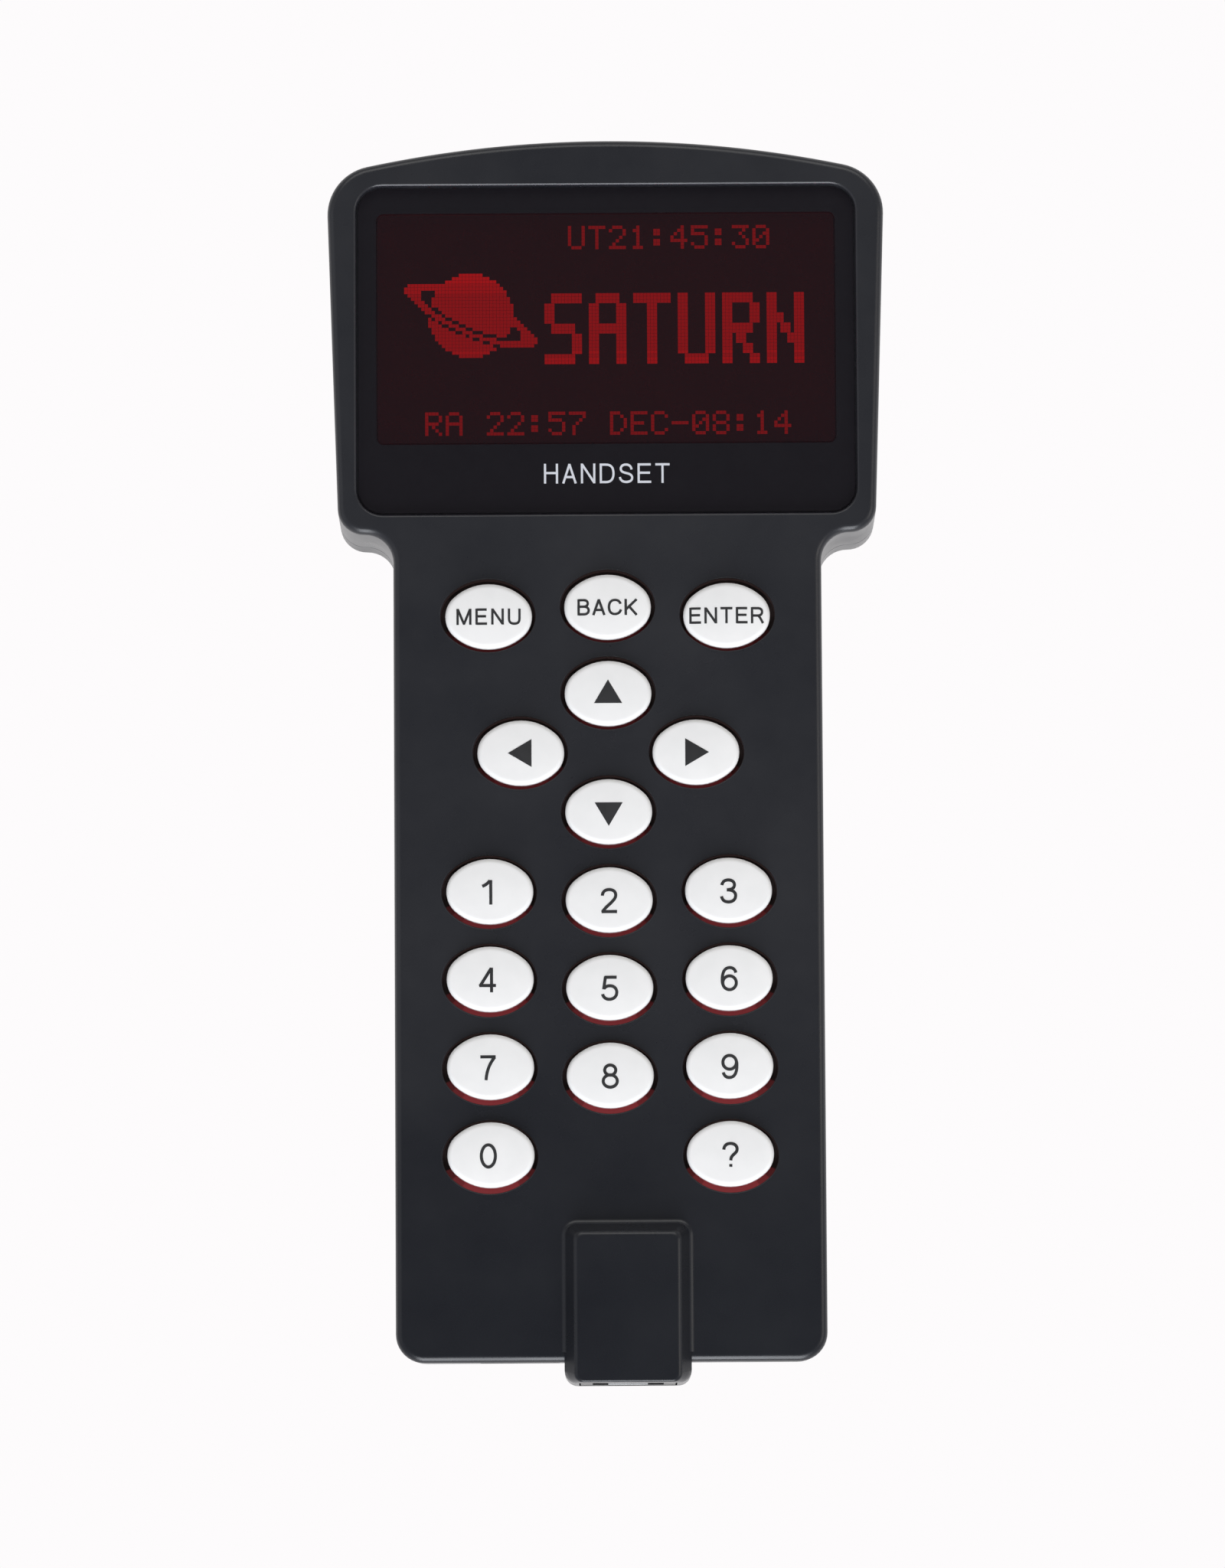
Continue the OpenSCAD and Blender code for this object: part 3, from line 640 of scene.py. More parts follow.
MATERIALS = {
    "case_plastic": case_plastic(),
    # Painted glow for the walls of the key holes
    "case_plastic_painted_glow": case_plastic("case_plastic_painted_glow", (0.017, 0.01, 0.0095)),
    "key_rubber": key_rubber("key_rubber", 0.0),
    # Copies of the key rubber with a painted red glow: dim, lit and bright
    "key_rubber_dim": key_rubber("key_rubber_dim", 0.3),
    "key_rubber_lit": key_rubber("key_rubber_lit", 0.65),
    "key_rubber_bright": key_rubber("key_rubber_bright", 1.0),
    "window_acrylic": clear_sheet("window_acrylic", (0.97, 0.97, 0.98), (0.8, 0.68, 0.86)),
    "red_film": clear_sheet("red_film", (0.85, 0.12, 0.14), None, (0.14, 0.11, 0.12), 0.045),
    "circuit_board": circuit_board(),
    "led_resin": lamp_resin(),
}
for made in MOULDED:
    MATERIALS[made[0]] = moulded(*made[:4], **made[4])
for made in BRUSHED:
    MATERIALS[made[0]] = brushed(*made)

SLOT_NODES = {
    "screw_steel": ["case_screws", "display_screws", "board_screws", "socket_screws"],
    "label_film": ["rear_label"],
    "black_foam_tape": ["window_tape"],
    "red_film": ["red_filter"],
    "polariser_film": ["display_polariser"],
    "display_glass": ["display_glass", "display_backplate"],
    "black_plastic": ["display_frame", "buzzer", "link_header", "cell_holder"],
    "circuit_board": ["display_board", "main_board", "socket_board"],
    "flex_film": ["display_flex"],
    "cable_film": ["display_cable"],
    "connector_plastic": ["cable_connectors"],
    "keypad_rubber": ["keypad_mat"],
    "led_resin": ["backlight_leds"],
    "chip_epoxy": ["microcontroller", "flash_memory", "voltage_regulator"],
    "bright_can": ["crystal", "capacitors"],
    "cell_steel": ["coin_cell"],
    "ferrite": ["inductor"],
    "socket_plastic": ["mount_socket", "serial_socket"],
    "contact_gold": ["mount_contacts", "serial_contacts", "link_pins"],
}


def paint_cad_nodes():
    """Gives each CAD node that stays in view its material."""
    for slot, nodes in SLOT_NODES.items():
        for name in nodes:
            materials = NODES[name].data.materials
            for place in range(len(materials)):
                materials[place] = MATERIALS[slot]
            if not materials:
                materials.append(MATERIALS[slot])


# ---- Case ----


def front_skin():
    """Outside of the front shell, with a round front edge."""
    low = end_at(PARTING_Z)
    rings = [
        at(case_outline(EDGE_BREAK, low + EDGE_BREAK), PARTING_Z),
        at(case_outline(0, low), PARTING_Z + EDGE_BREAK),
    ]
    steps = 8
    for i in range(steps + 1):
        t = math.radians(90 * i / steps)
        z = CASE_DEPTH - FRONT_ROUND * (1 - math.sin(t))
        rings.append(at(case_outline(FRONT_ROUND * (1 - math.cos(t)), end_at(z)), z))
    return loft("front_skin", rings)


def bump_inset(z):
    """How far the bump's side stands in from its foot at a height."""
    run = (BUMP_WIDTH - BUMP_TOP_WIDTH) / 2
    slope = math.atan2(BUMP_RISE, run)
    lead = BUMP_TOP_ROUND * math.tan(slope / 2)
    centre_z = CASE_DEPTH + BUMP_RISE - BUMP_TOP_ROUND
    if z <= CASE_DEPTH:
        return 0.0
    if z < CASE_DEPTH + BUMP_RISE - lead * math.sin(slope):
        return (z - CASE_DEPTH) / math.tan(slope)
    across = math.sqrt(max(0.0, BUMP_TOP_ROUND**2 - (z - centre_z) ** 2))
    return run + lead - across


def bump_end_inset(z):
    """How far the bump's end leans in below the front face, or rolls back at its top."""
    top = CASE_DEPTH - 0.5
    if z < top:
        return BUMP_LEAN * (top - z) / (top - PARTING_Z)
    above = max(0.0, z - (CASE_DEPTH + BUMP_RISE - BUMP_END_ROUND))
    return BUMP_END_ROUND - math.sqrt(max(0.0, BUMP_END_ROUND**2 - above**2))


def bump():
    """Housing of the cord socket, with the snout that stands past the end of the grip."""
    top = CASE_DEPTH + BUMP_RISE
    levels = [PARTING_Z, PARTING_Z + EDGE_BREAK, CASE_DEPTH - 0.5, CASE_DEPTH, CASE_DEPTH + 0.8]
    levels += [top - BUMP_TOP_ROUND * (1 - math.sin(math.radians(a))) for a in (12, 24, 36)]
    levels += [top - BUMP_END_ROUND * (1 - math.sin(math.radians(a))) for a in range(0, 91, 10)]
    levels.sort()
    rings = []
    for z in levels:
        side = EDGE_BREAK if z == PARTING_Z else bump_inset(z)
        low = BUMP_END_Y + bump_end_inset(z) + (EDGE_BREAK if z == PARTING_Z else 0)
        high = BUMP_START_Y - side
        corner = BUMP_CORNER - side * 0.42
        shape = rounded(BUMP_WIDTH - 2 * side, high - low, corner)
        rings.append(at(moved(shape, BUMP_X, (low + high) / 2), z))
    return loft("bump", rings)


def foot_fillet():
    """Hollow fillet where the bump rises out of the front face."""
    run = (BUMP_WIDTH - BUMP_TOP_WIDTH) / 2
    slope = math.atan2(BUMP_RISE, run)
    r = BUMP_FLARE / math.tan(slope / 2)
    steps = 8
    profile = [(-BUMP_FLARE, -0.5), (-BUMP_FLARE, 0.0)]
    for i in range(1, steps + 1):
        a = slope * i / steps
        profile.append((r * math.sin(a) - BUMP_FLARE, r * (1 - math.cos(a))))
    profile.append((profile[-1][0] + 0.6, profile[-1][1] - 0.1))
    profile.append((profile[-1][0], -0.5))
    corner_y = BUMP_START_Y - BUMP_CORNER
    half = BUMP_WIDTH / 2
    low = end_at(CASE_DEPTH) + FRONT_ROUND + 0.3
    route = [((half, low), (1, 0))]
    for side, start in ((1, 0), (-1, 90)):
        corner = (side * (half - BUMP_CORNER), corner_y)
        outward = arc((0, 0), 1, start, start + 90)
        route += zip(arc(corner, BUMP_CORNER, start, start + 90), outward)
    route.append(((-half, low), (-1, 0)))
    rings = []
    for (x, y), (nx, ny) in route:
        rings.append(
            [(BUMP_X + x - nx * inset, y - ny * inset, CASE_DEPTH + z) for inset, z in profile]
        )
    return loft("foot_fillet", rings)


def pane_shape(inset):
    """Outline of the window's pane, moved in by inset."""
    width, height = WINDOW_SIZE[0] - 2 * inset, WINDOW_SIZE[1] - 2 * inset
    return moved(rounded(width, height, WINDOW_CORNER - inset), 0, WINDOW_Y)


def opening_shape():
    """Outline of the clear area under the window."""
    return moved(rounded(*OPENING_SIZE, 1.0), 0, OPENING_Y)


def window_shape(grow):
    """Window recess in the front face."""
    return pane_shape(-WINDOW_GAP - grow)


def key_centre(name):
    """Middle of a key, in the plane of the front face."""
    low, high = mm_box(name)
    return (low.x + high.x) / 2, (low.y + high.y) / 2


def hole_centre(name):
    """Middle of a key's hole. The rubber mat has shrunk a little about its own middle."""
    x, y = key_centre(name)
    middle = (MAT_LOW.y + MAT_HIGH.y) / 2
    return x * MAT_SHRINK, middle + (y - middle) * MAT_SHRINK


def key_hole(name):
    """Cutter for the hole that a key stands in."""
    x, y = hole_centre(name)
    size = (KEY_WIDTH, KEY_HEIGHT)
    return rim_cutter(
        lambda grow: moved(oval(size, KEY_GAP + grow), x, y), INNER_Z - 1, CASE_DEPTH, 0.22, 4
    )


def socket_bay(low, high):
    """Opening in the end wall that a socket's mouth fills."""
    x = (low.x - 0.2, high.x + 0.2)
    return block(x, (low.y - 10, high.y + 0.2), (low.z - 0.1, high.z + 0.2))


def worked(body, steps):
    """Body after a list of (operation, tools) steps."""
    for operation, tools in steps:
        body = combine(body, tools, operation)
    return body


def front_shell():
    """Front shell, hollow, with its window recess, key holes, screw columns and socket bays."""
    low = end_at(PARTING_Z)
    cavity = prism(case_outline(WALL, low + WALL), PARTING_Z - 1, SEAT_Z)
    rim = LIP_INSET - 0.1
    rebate = prism(case_outline(rim, low + rim), PARTING_Z - 1, PARTING_Z + LIP_HEIGHT + 0.1)
    bay_low, bay_high = low + WALL, SHOULDER_Y - 0.6
    bay_shape = rounded(2 * (HALF_BODY - WALL), bay_high - bay_low, END_CORNER - WALL)
    bay = prism(moved(bay_shape, 0, (bay_low + bay_high) / 2), PARTING_Z - 1, INNER_Z)
    columns = (
        pegs(mirrored(CASE_SCREWS[:1]), TOP_COLUMN, PARTING_Z, SEAT_Z + ROOT)
        + pegs(mirrored(CASE_SCREWS[1:]), CASE_COLUMN, PARTING_Z, INNER_Z + ROOT)
        + pegs(mirrored(DISPLAY_SCREWS), DISPLAY_COLUMN, DISPLAY_COLUMN_LOW, SEAT_Z + ROOT)
        + pegs(mirrored(BOARD_SCREWS), BOARD_COLUMN, BOARD_TOP_Z, INNER_Z + ROOT)
    )
    bores = (
        pegs(mirrored(CASE_SCREWS), CASE_BORE, PARTING_Z - 1, SEAT_Z - 1)
        + pegs(mirrored(DISPLAY_SCREWS), DISPLAY_BORE, PARTING_Z, SEAT_Z - 0.6)
        + pegs(mirrored(BOARD_SCREWS), BOARD_BORE, PARTING_Z, INNER_Z - 0.8)
    )
    recess = rim_cutter(window_shape, WINDOW_LOW.z - WINDOW_GAP, CASE_DEPTH, 0.4)
    holes = [key_hole(name) for name in KEYS]
    bays = [socket_bay(MOUNT_LOW, MOUNT_HIGH), socket_bay(SERIAL_LOW, SERIAL_HIGH)]
    steps = [
        ("UNION", [bump()]),
        ("UNION", [foot_fillet()]),
        ("DIFFERENCE", [cavity]),
        ("DIFFERENCE", [rebate]),
        ("DIFFERENCE", [bay]),
        ("UNION", columns),
        ("DIFFERENCE", bores),
        ("DIFFERENCE", [recess, *holes]),
        ("DIFFERENCE", [prism(opening_shape(), PARTING_Z, CASE_DEPTH + 1)]),
        ("DIFFERENCE", bays),
    ]
    shell = worked(front_skin(), steps)
    shell = finish(
        shell, "front_shell_moulding", MATERIALS["case_plastic"], "case",
        replaces=["front_shell"],
    )
    shell.data.materials.append(MATERIALS["case_plastic_painted_glow"])
    # The walls of the key holes get a painted glow, for the light that the lamps throw on them
    centres = [hole_centre(name) for name in KEYS]
    reach_x, reach_y = KEY_WIDTH / 2 + KEY_GAP + 0.1, KEY_HEIGHT / 2 + KEY_GAP + 0.1
    for face in shell.data.polygons:
        x, y, z = face.center / MM
        if INNER_Z < z < CASE_DEPTH - 0.1 and abs(face.normal.z) < 0.5:
            in_hole = any(abs(x - cx) < reach_x and abs(y - cy) < reach_y for cx, cy in centres)
            face.material_index = int(in_hole)
    return shell


def rear_skin():
    """Outside of the rear shell, with a round back edge."""
    steps = 10
    rings = []
    for i in range(steps + 1):
        t = math.radians(90 - 90 * i / steps)
        z = BACK_ROUND * (1 - math.sin(t))
        inset = BACK_ROUND * (1 - math.cos(t))
        rings.append(at(case_outline(inset, end_at(z)), z))
    low = end_at(PARTING_Z)
    rings.append(at(case_outline(0, low), PARTING_Z - EDGE_BREAK))
    rings.append(at(case_outline(EDGE_BREAK, low + EDGE_BREAK), PARTING_Z))
    return loft("rear_skin", rings)


def rear_shell():
    """Rear shell, hollow, with its lip, ribs, screw seats and label recess."""
    low = end_at(PARTING_Z)
    lip = prism(case_outline(LIP_INSET, low + LIP_INSET), PARTING_Z - 1, PARTING_Z + LIP_HEIGHT)
    cavity = prism(case_outline(WALL, end_at(0) + WALL), WALL, PARTING_Z + LIP_HEIGHT + 1)
    root = WALL - ROOT
    ribs = [block((-30, 30), (y, y + 1.2), (root, PARTING_Z - 1)) for y in (44, 58, 72)]
    ribs += [block((x - 0.6, x + 0.6), (-56, 24), (root, WALL + 2)) for x in (-20, 20)]
    seats = pegs(mirrored(CASE_SCREWS), 3.6, root, PARTING_Z - 0.1)
    seats += pegs(SOCKET_SCREWS, 2.4, root, 7.8)
    wells = pegs(mirrored(CASE_SCREWS), 1.65, 4, PARTING_Z + 1)
    wells += pegs(SOCKET_SCREWS, 0.97, WALL + 1, 9)
    counterbores = []
    for x, y in mirrored(CASE_SCREWS):
        rings = [(3.15, -1), (3.15, 0), (2.75, 0.4), (2.75, 4.5)]
        counterbores.append(loft("bore", [at(moved(circle(r), x, y), z) for r, z in rings]))
    width = LABEL_HIGH.x - LABEL_LOW.x + 0.4
    height = LABEL_HIGH.y - LABEL_LOW.y + 0.4
    middle = (LABEL_LOW.y + LABEL_HIGH.y) / 2
    label_recess = prism(moved(rounded(width, height, 2.2), 0, middle), -1, LABEL_HIGH.z)
    steps = [
        ("UNION", [lip]),
        ("DIFFERENCE", [cavity]),
        ("UNION", ribs),
        ("UNION", seats),
        ("DIFFERENCE", wells),
        ("DIFFERENCE", counterbores),
        ("DIFFERENCE", [label_recess]),
    ]
    shell = worked(rear_skin(), steps)
    return finish(
        shell, "rear_shell_moulding", MATERIALS["case_plastic"], "case",
        replaces=["rear_shell"],
    )


# ---- Keys ----


def dome(x, y):
    """Height of a key's crown over its middle."""
    return KEY_TOP - KEY_DOME + math.sqrt(KEY_DOME**2 - x * x - y * y)


def key_cap(name):
    """Key with its post, the flange that keeps it in, and a domed cap with a soft edge."""
    cx, cy = key_centre(name)
    size = (KEY_WIDTH, KEY_HEIGHT)
    rings = [
        at(oval(POST_SIZE, -0.2), POST_LOW),
        at(oval(POST_SIZE), POST_LOW + 0.2),
        at(oval(POST_SIZE), FLANGE_LOW),
        at(oval(FLANGE_SIZE, -0.15), FLANGE_LOW),
        at(oval(FLANGE_SIZE), FLANGE_LOW + 0.15),
        at(oval(FLANGE_SIZE), FLANGE_HIGH - 0.15),
        at(oval(FLANGE_SIZE, -0.15), FLANGE_HIGH),
        at(oval(size, 0.12), FLANGE_HIGH),
        at(oval(size), FLANGE_HIGH + 0.15),
    ]
    rim = [(x, y, dome(x, y)) for x, y in oval(size, -KEY_EDGE)]
    steps = 8
    for i in range(steps + 1):
        t = math.radians(90 * i / steps)
        ring = oval(size, KEY_EDGE * (math.cos(t) - 1))
        drop = KEY_EDGE * (1 - math.sin(t))
        rings.append([(p[0], p[1], q[2] - drop) for p, q in zip(ring, rim)])
    for share in (0.85, 0.68, 0.5, 0.32, 0.15):
        rings.append([(x * share, y * share, dome(x * share, y * share)) for x, y, z in rim])
    rings = [[(x + cx, y + cy, z) for x, y, z in ring] for ring in rings]
    cap = finish(
        loft(name, rings), f"{name}_cap", MATERIALS["key_rubber"], f"{name}_body",
        replaces=[name],
    )
    # The sides that face the grip's end get more of the painted glow
    for level in ("dim", "lit", "bright"):
        cap.data.materials.append(MATERIALS[f"key_rubber_{level}"])
    for face in cap.data.polygons:
        x, y, z = face.center / MM
        nearness = (cy - y) / max(0.1, math.hypot(x - cx, y - cy))
        if z < CASE_DEPTH + 0.6:
            face.material_index = sum(nearness > limit for limit in (0.3, 0.5, 0.7))
    return cap


def key_skirt(name):
    """Thin rubber skirt that carries a key on the mat."""
    cx, cy = key_centre(name)
    low, high = MAT_HIGH.z, FLANGE_LOW
    steps = 8
    outer, inner = [], []
    for i in range(steps + 1):
        share = i / steps
        z = low + (high - low) * share
        belly = 0.35 * math.sin(math.pi * share) - 0.5 * share
        outer.append(at(moved(oval(WEB_SIZE, belly), cx, cy), z))
        inner.append(at(moved(oval(WEB_SIZE, belly - WEB_T), cx, cy), z))
    skirt = tube("skirt", outer + inner[::-1])
    shade(skirt, f"{name}_skirt", MATERIALS["keypad_rubber"], 40)
    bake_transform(skirt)
    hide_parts("key_webs")


# Middle lines of each letter's strokes, for a letter of height 1: its width, then its paths.
# M starts a path, L is a straight step, C a curve with two handles, O a whole oval (middle and half sizes).
STROKES = {
    "0": (0.67, "O .335 .5 .285 .45"),
    "1": (0.4, "M .345 0 L .345 1 M 0 .745 C .13 .79 .25 .88 .31 .985"),
    "2": (
        0.67,
        "M .06 .7 C .06 .86 .17 .95 .33 .95 C .5 .95 .6 .86 .6 .73 "
        "C .6 .6 .52 .52 .38 .38 C .2 .22 .12 .15 .06 .03 M .02 .05 L .65 .05",
    ),
    "3": (
        0.67,
        "M .06 .74 C .09 .88 .18 .95 .32 .95 C .47 .95 .575 .87 .575 .75 C .575 .62 .47 .545 .26 .545 "
        "M .26 .545 C .5 .545 .62 .45 .62 .31 C .62 .15 .5 .05 .33 .05 C .17 .05 .07 .13 .045 .28",
    ),
    "4": (0.68, "M .5 0 L .5 1 M 0 .275 L .68 .275 M .03 .25 L .49 .98"),
    "5": (
        0.67,
        "M .62 .95 L .13 .95 M .165 .98 L .09 .46 M .1 .485 C .16 .56 .24 .6 .34 .6 "
        "C .51 .6 .62 .49 .62 .335 C .62 .17 .5 .05 .32 .05 C .17 .05 .07 .13 .045 .26",
    ),
    "6": (
        0.67,
        "M .605 .74 C .57 .88 .48 .95 .36 .95 C .16 .95 .05 .78 .05 .45 C .05 .38 .055 .33 .075 .26 "
        "O .345 .33 .275 .28",
    ),
    "7": (0.65, "M .02 .95 L .64 .95 M .6 .93 C .42 .72 .27 .4 .245 0"),
    "8": (0.67, "O .335 .745 .225 .205 O .335 .3 .285 .25"),
    "9": (
        0.67,
        "M .065 .26 C .1 .12 .19 .05 .31 .05 C .51 .05 .62 .22 .62 .55 C .62 .62 .615 .67 .595 .74 "
        "O .325 .67 .275 .28",
    ),
    "?": (
        0.64,
        "M .05 .7 C .06 .87 .17 .95 .32 .95 C .49 .95 .59 .85 .59 .72 C .59 .52 .33 .52 .33 .26 "
        "M .33 0 L .33 .11",
    ),
    "A": (0.74, "M .045 0 L .375 .98 M .365 .98 L .695 0 M .15 .32 L .59 .32"),
    "B": (
        0.71,
        "M .06 0 L .06 1 M .06 .94 L .36 .94 C .52 .94 .6 .86 .6 .74 C .6 .62 .52 .535 .36 .535 "
        "L .06 .535 M .34 .535 C .56 .535 .65 .43 .65 .3 C .65 .15 .55 .06 .38 .06 L .06 .06",
    ),
    "C": (
        0.82,
        "M .74 .7 C .69 .87 .57 .94 .42 .94 C .19 .94 .06 .78 .06 .5 C .06 .22 .18 .06 .41 .06 "
        "C .59 .06 .71 .15 .76 .34",
    ),
    "D": (
        0.78,
        "M .06 0 L .06 1 M .06 .94 L .34 .94 C .6 .94 .72 .78 .72 .5 C .72 .22 .6 .06 .34 .06 L .06 .06",
    ),
    "E": (0.71, "M .06 0 L .06 1 M .06 .94 L .69 .94 M .06 .52 L .65 .52 M .06 .06 L .71 .06"),
    "H": (0.74, "M .06 0 L .06 1 M .68 0 L .68 1 M .06 .53 L .68 .53"),
    "K": (0.75, "M .06 0 L .06 1 M .7 .99 L .07 .35 M .26 .54 L .7 .01"),
    "M": (0.91, "M .06 0 L .06 1 M .85 0 L .85 1 M .07 .98 L .465 .02 M .445 .02 L .84 .98"),
    "N": (0.76, "M .06 0 L .06 1 M .7 0 L .7 1 M .07 .96 L .69 .04"),
    "R": (
        0.78,
        "M .06 0 L .06 1 M .06 .94 L .42 .94 C .6 .94 .68 .85 .68 .72 C .68 .57 .58 .48 .4 .48 "
        "L .06 .48 M .4 .5 C .52 .44 .58 .3 .73 .01",
    ),
    "S": (
        0.75,
        "M .66 .69 C .63 .86 .53 .94 .37 .94 C .2 .94 .1 .85 .1 .73 C .1 .6 .2 .55 .38 .51 "
        "C .58 .46 .69 .41 .69 .27 C .69 .14 .57 .06 .38 .06 C .2 .06 .08 .14 .05 .31",
    ),
    "T": (0.74, "M 0 .94 L .74 .94 M .37 0 L .37 .94"),
    "U": (0.77, "M .06 1 L .06 .38 C .06 .15 .17 .06 .385 .06 C .6 .06 .71 .15 .71 .38 L .71 1"),
}


def bend(start, first, second, end, steps=8):
    """Points on a curve with two handles, without its start."""
    points = []
    for i in range(1, steps + 1):
        t = i / steps
        shares = ((1 - t) ** 3, 3 * t * (1 - t) ** 2, 3 * t * t * (1 - t), t**3)
        corners = (start, first, second, end)
        points.append(tuple(sum(w * c[k] for w, c in zip(shares, corners)) for k in (0, 1)))
    return points


def stroke_paths(text):
    """Paths of a letter as (points, closed)."""
    words = text.split()
    paths = []
    place = 0
    while place < len(words):
        step = words[place]
        count = {"M": 2, "L": 2, "C": 6, "O": 4}[step]
        v = [float(word) for word in words[place + 1 : place + 1 + count]]
        place += 1 + count
        if step == "M":
            paths.append(([(v[0], v[1])], False))
        elif step == "L":
            paths[-1][0].append((v[0], v[1]))
        elif step == "C":
            paths[-1][0].extend(bend(paths[-1][0][-1], (v[0], v[1]), (v[2], v[3]), (v[4], v[5])))
        else:
            turns = [math.radians(360 * i / 36) for i in range(36)]
            oval_points = [(v[0] + v[2] * math.cos(a), v[1] + v[3] * math.sin(a)) for a in turns]
            paths.append((oval_points, True))
    return paths


def ribbon(points, closed, width):
    """Solid that follows a path, one unit deep."""
    rings = []
    count = len(points)
    for i, (x, y) in enumerate(points):
        before = points[(i - 1) % count] if closed or i else points[0]
        after = points[(i + 1) % count] if closed or i < count - 1 else points[-1]
        along = Vector((after[0] - before[0], after[1] - before[1])).normalized()
        u, v = -along.y * width / 2, along.x * width / 2
        rings.append(
            [(x + u, y + v, -0.5), (x + u, y + v, 0.5), (x - u, y - v, 0.5), (x - u, y - v, -0.5)]
        )
    return tube("ribbon", rings) if closed else loft("ribbon", rings)


def lettering(text, height, weight, gap, width=None):
    """Flat mesh of a word about its middle, from letters with strokes of one weight."""
    letters = []
    start = 0.0
    for letter in text:
        wide, strokes = STROKES[letter]
        glyph = None
        for points, closed in stroke_paths(strokes):
            path = [((start + x) * height, y * height) for x, y in points]
            part = ribbon(path, closed, weight)
            glyph = combine(glyph, [part], "UNION") if glyph else part
        letters.append(glyph)
        start += wide + gap
    word = join(letters)
    flat = bmesh.new()
    flat.from_mesh(word.data)
    bpy.data.objects.remove(word)
    hidden = [face for face in flat.faces if face.calc_center_median().z < 0.49]
    bmesh.ops.delete(flat, geom=hidden, context="FACES")
    mesh = bpy.data.meshes.new("word")
    flat.to_mesh(mesh)
    flat.free()
    length = (start - gap) * height
    stretch = width / length if width else 1.0
    mesh.transform(
        Matrix.Diagonal((stretch, 1, 0, 1)) @ Matrix.Translation((-length / 2, -height / 2, 0))
    )
    return mesh


def flat_shape(outline):
    """Flat mesh of one outline."""
    mesh = bpy.data.meshes.new("flat")
    mesh.from_pydata([(x, y, 0) for x, y in outline], [], [tuple(range(len(outline)))])
    return mesh


def print_on(mesh, name, place, surface, material, body, thickness=0.03, shift=(0.0, 0.0)):
    """A thin layer of ink: a flat mesh cut fine, laid on a surface and closed underneath."""
    work = bmesh.new()
    work.from_mesh(mesh)
    bmesh.ops.translate(work, verts=work.verts, vec=(*shift, 0))
    bmesh.ops.remove_doubles(work, verts=work.verts, dist=0.002)
    bmesh.ops.triangulate(work, faces=work.faces)
    for _ in range(3):
        long = [edge for edge in work.edges if edge.calc_length() > 0.7]
        if not long:
            break
        bmesh.ops.subdivide_edges(work, edges=long, cuts=1)
        bmesh.ops.triangulate(work, faces=work.faces)
    bmesh.ops.recalc_face_normals(work, faces=work.faces)
    if sum(face.normal.z for face in work.faces) < 0:
        bmesh.ops.reverse_faces(work, faces=work.faces)
    made = bmesh.ops.extrude_face_region(work, geom=work.faces[:])
    raised = {item for item in made["geom"] if isinstance(item, bmesh.types.BMVert)}
    for vert in work.verts:
        lift = thickness if vert in raised else -thickness
        vert.co.z = surface(vert.co.x, vert.co.y) + lift
        vert.co.x += place[0]
        vert.co.y += place[1]
    bmesh.ops.recalc_face_normals(work, faces=work.faces)
    data = bpy.data.meshes.new(name)
    work.to_mesh(data)
    work.free()
    return finish(in_scene(name, data), name, material, body, sharp=50)


def arrow(turn):
    """Triangle that points along an angle."""
    a = math.radians(turn)
    shape = [(-1.5, -1.95), (1.8, 0.0), (-1.5, 1.95)]
    return flat_shape(
        [(x * math.cos(a) - y * math.sin(a), x * math.sin(a) + y * math.cos(a)) for x, y in shape]
    )


def legend(name):
    """Flat shape that is printed on a key, and how far it sits from the key's middle."""
    words = {"key_menu": (0.27, 8.9), "key_back": (0.17, 8.35), "key_enter": (0.22, 10.35)}
    arrows = {
        "key_up": (90, 0.04), "key_left": (180, -0.12), "key_right": (0, -0.12), "key_down": (-90, -0.3)
    }
    if name in words:
        gap, width = words[name]
        return lettering(name[4:].upper(), 2.25, 0.33, gap, width), (0.0, -0.12)
    if name in arrows:
        turn, drop = arrows[name]
        return arrow(turn), (0.0, drop)
    text = "?" if name == "key_help" else name[4:]
    left_column = key_centre(name)[0] < -1
    return lettering(text, 3.42, 0.43, 0.0), (-0.35 if left_column else 0.0, -0.2)


def keys():
    """Every key with its skirt and its legend."""
    for name in KEYS:
        key_cap(name)
        key_skirt(name)
        mesh, shift = legend(name)
        x, y = key_centre(name)
        print_on(
            mesh, f"{name}_legend", (x, y), dome, MATERIALS["legend_ink"],
            f"{name}_body", shift=shift,
        )


# ---- Window and display ----


def window():
    """Clear pane with its black print, and the white word under the clear area."""
    back, front = WINDOW_LOW.z, WINDOW_HIGH.z
    edge = 0.12
    levels = [(0, back + PRINT_T), (0, front - edge), (edge, front)]
    pane = loft("pane", [at(pane_shape(inset), z) for inset, z in levels])
    finish(
        pane, "window_pane", MATERIALS["window_acrylic"], "case",
        replaces=["display_window"],
    )
    frame_print = prism(pane_shape(0.05), back, back + PRINT_T - 0.005)
    opening = prism(opening_shape(), back - 1, back + 1)
    border = combine(frame_print, [opening], "DIFFERENCE")
    finish(border, "window_border_print", MATERIALS["window_print"], "case")
    word = lettering("HANDSET", 2.8, 0.32, 0.22, 17.6)
    y = WINDOW_LOW.y + 5.75
    print_on(
        word, "window_word_print", (0.0, y), lambda u, v: back + PRINT_T + 0.02,
        MATERIALS["white_ink"], "case", thickness=0.01,
    )


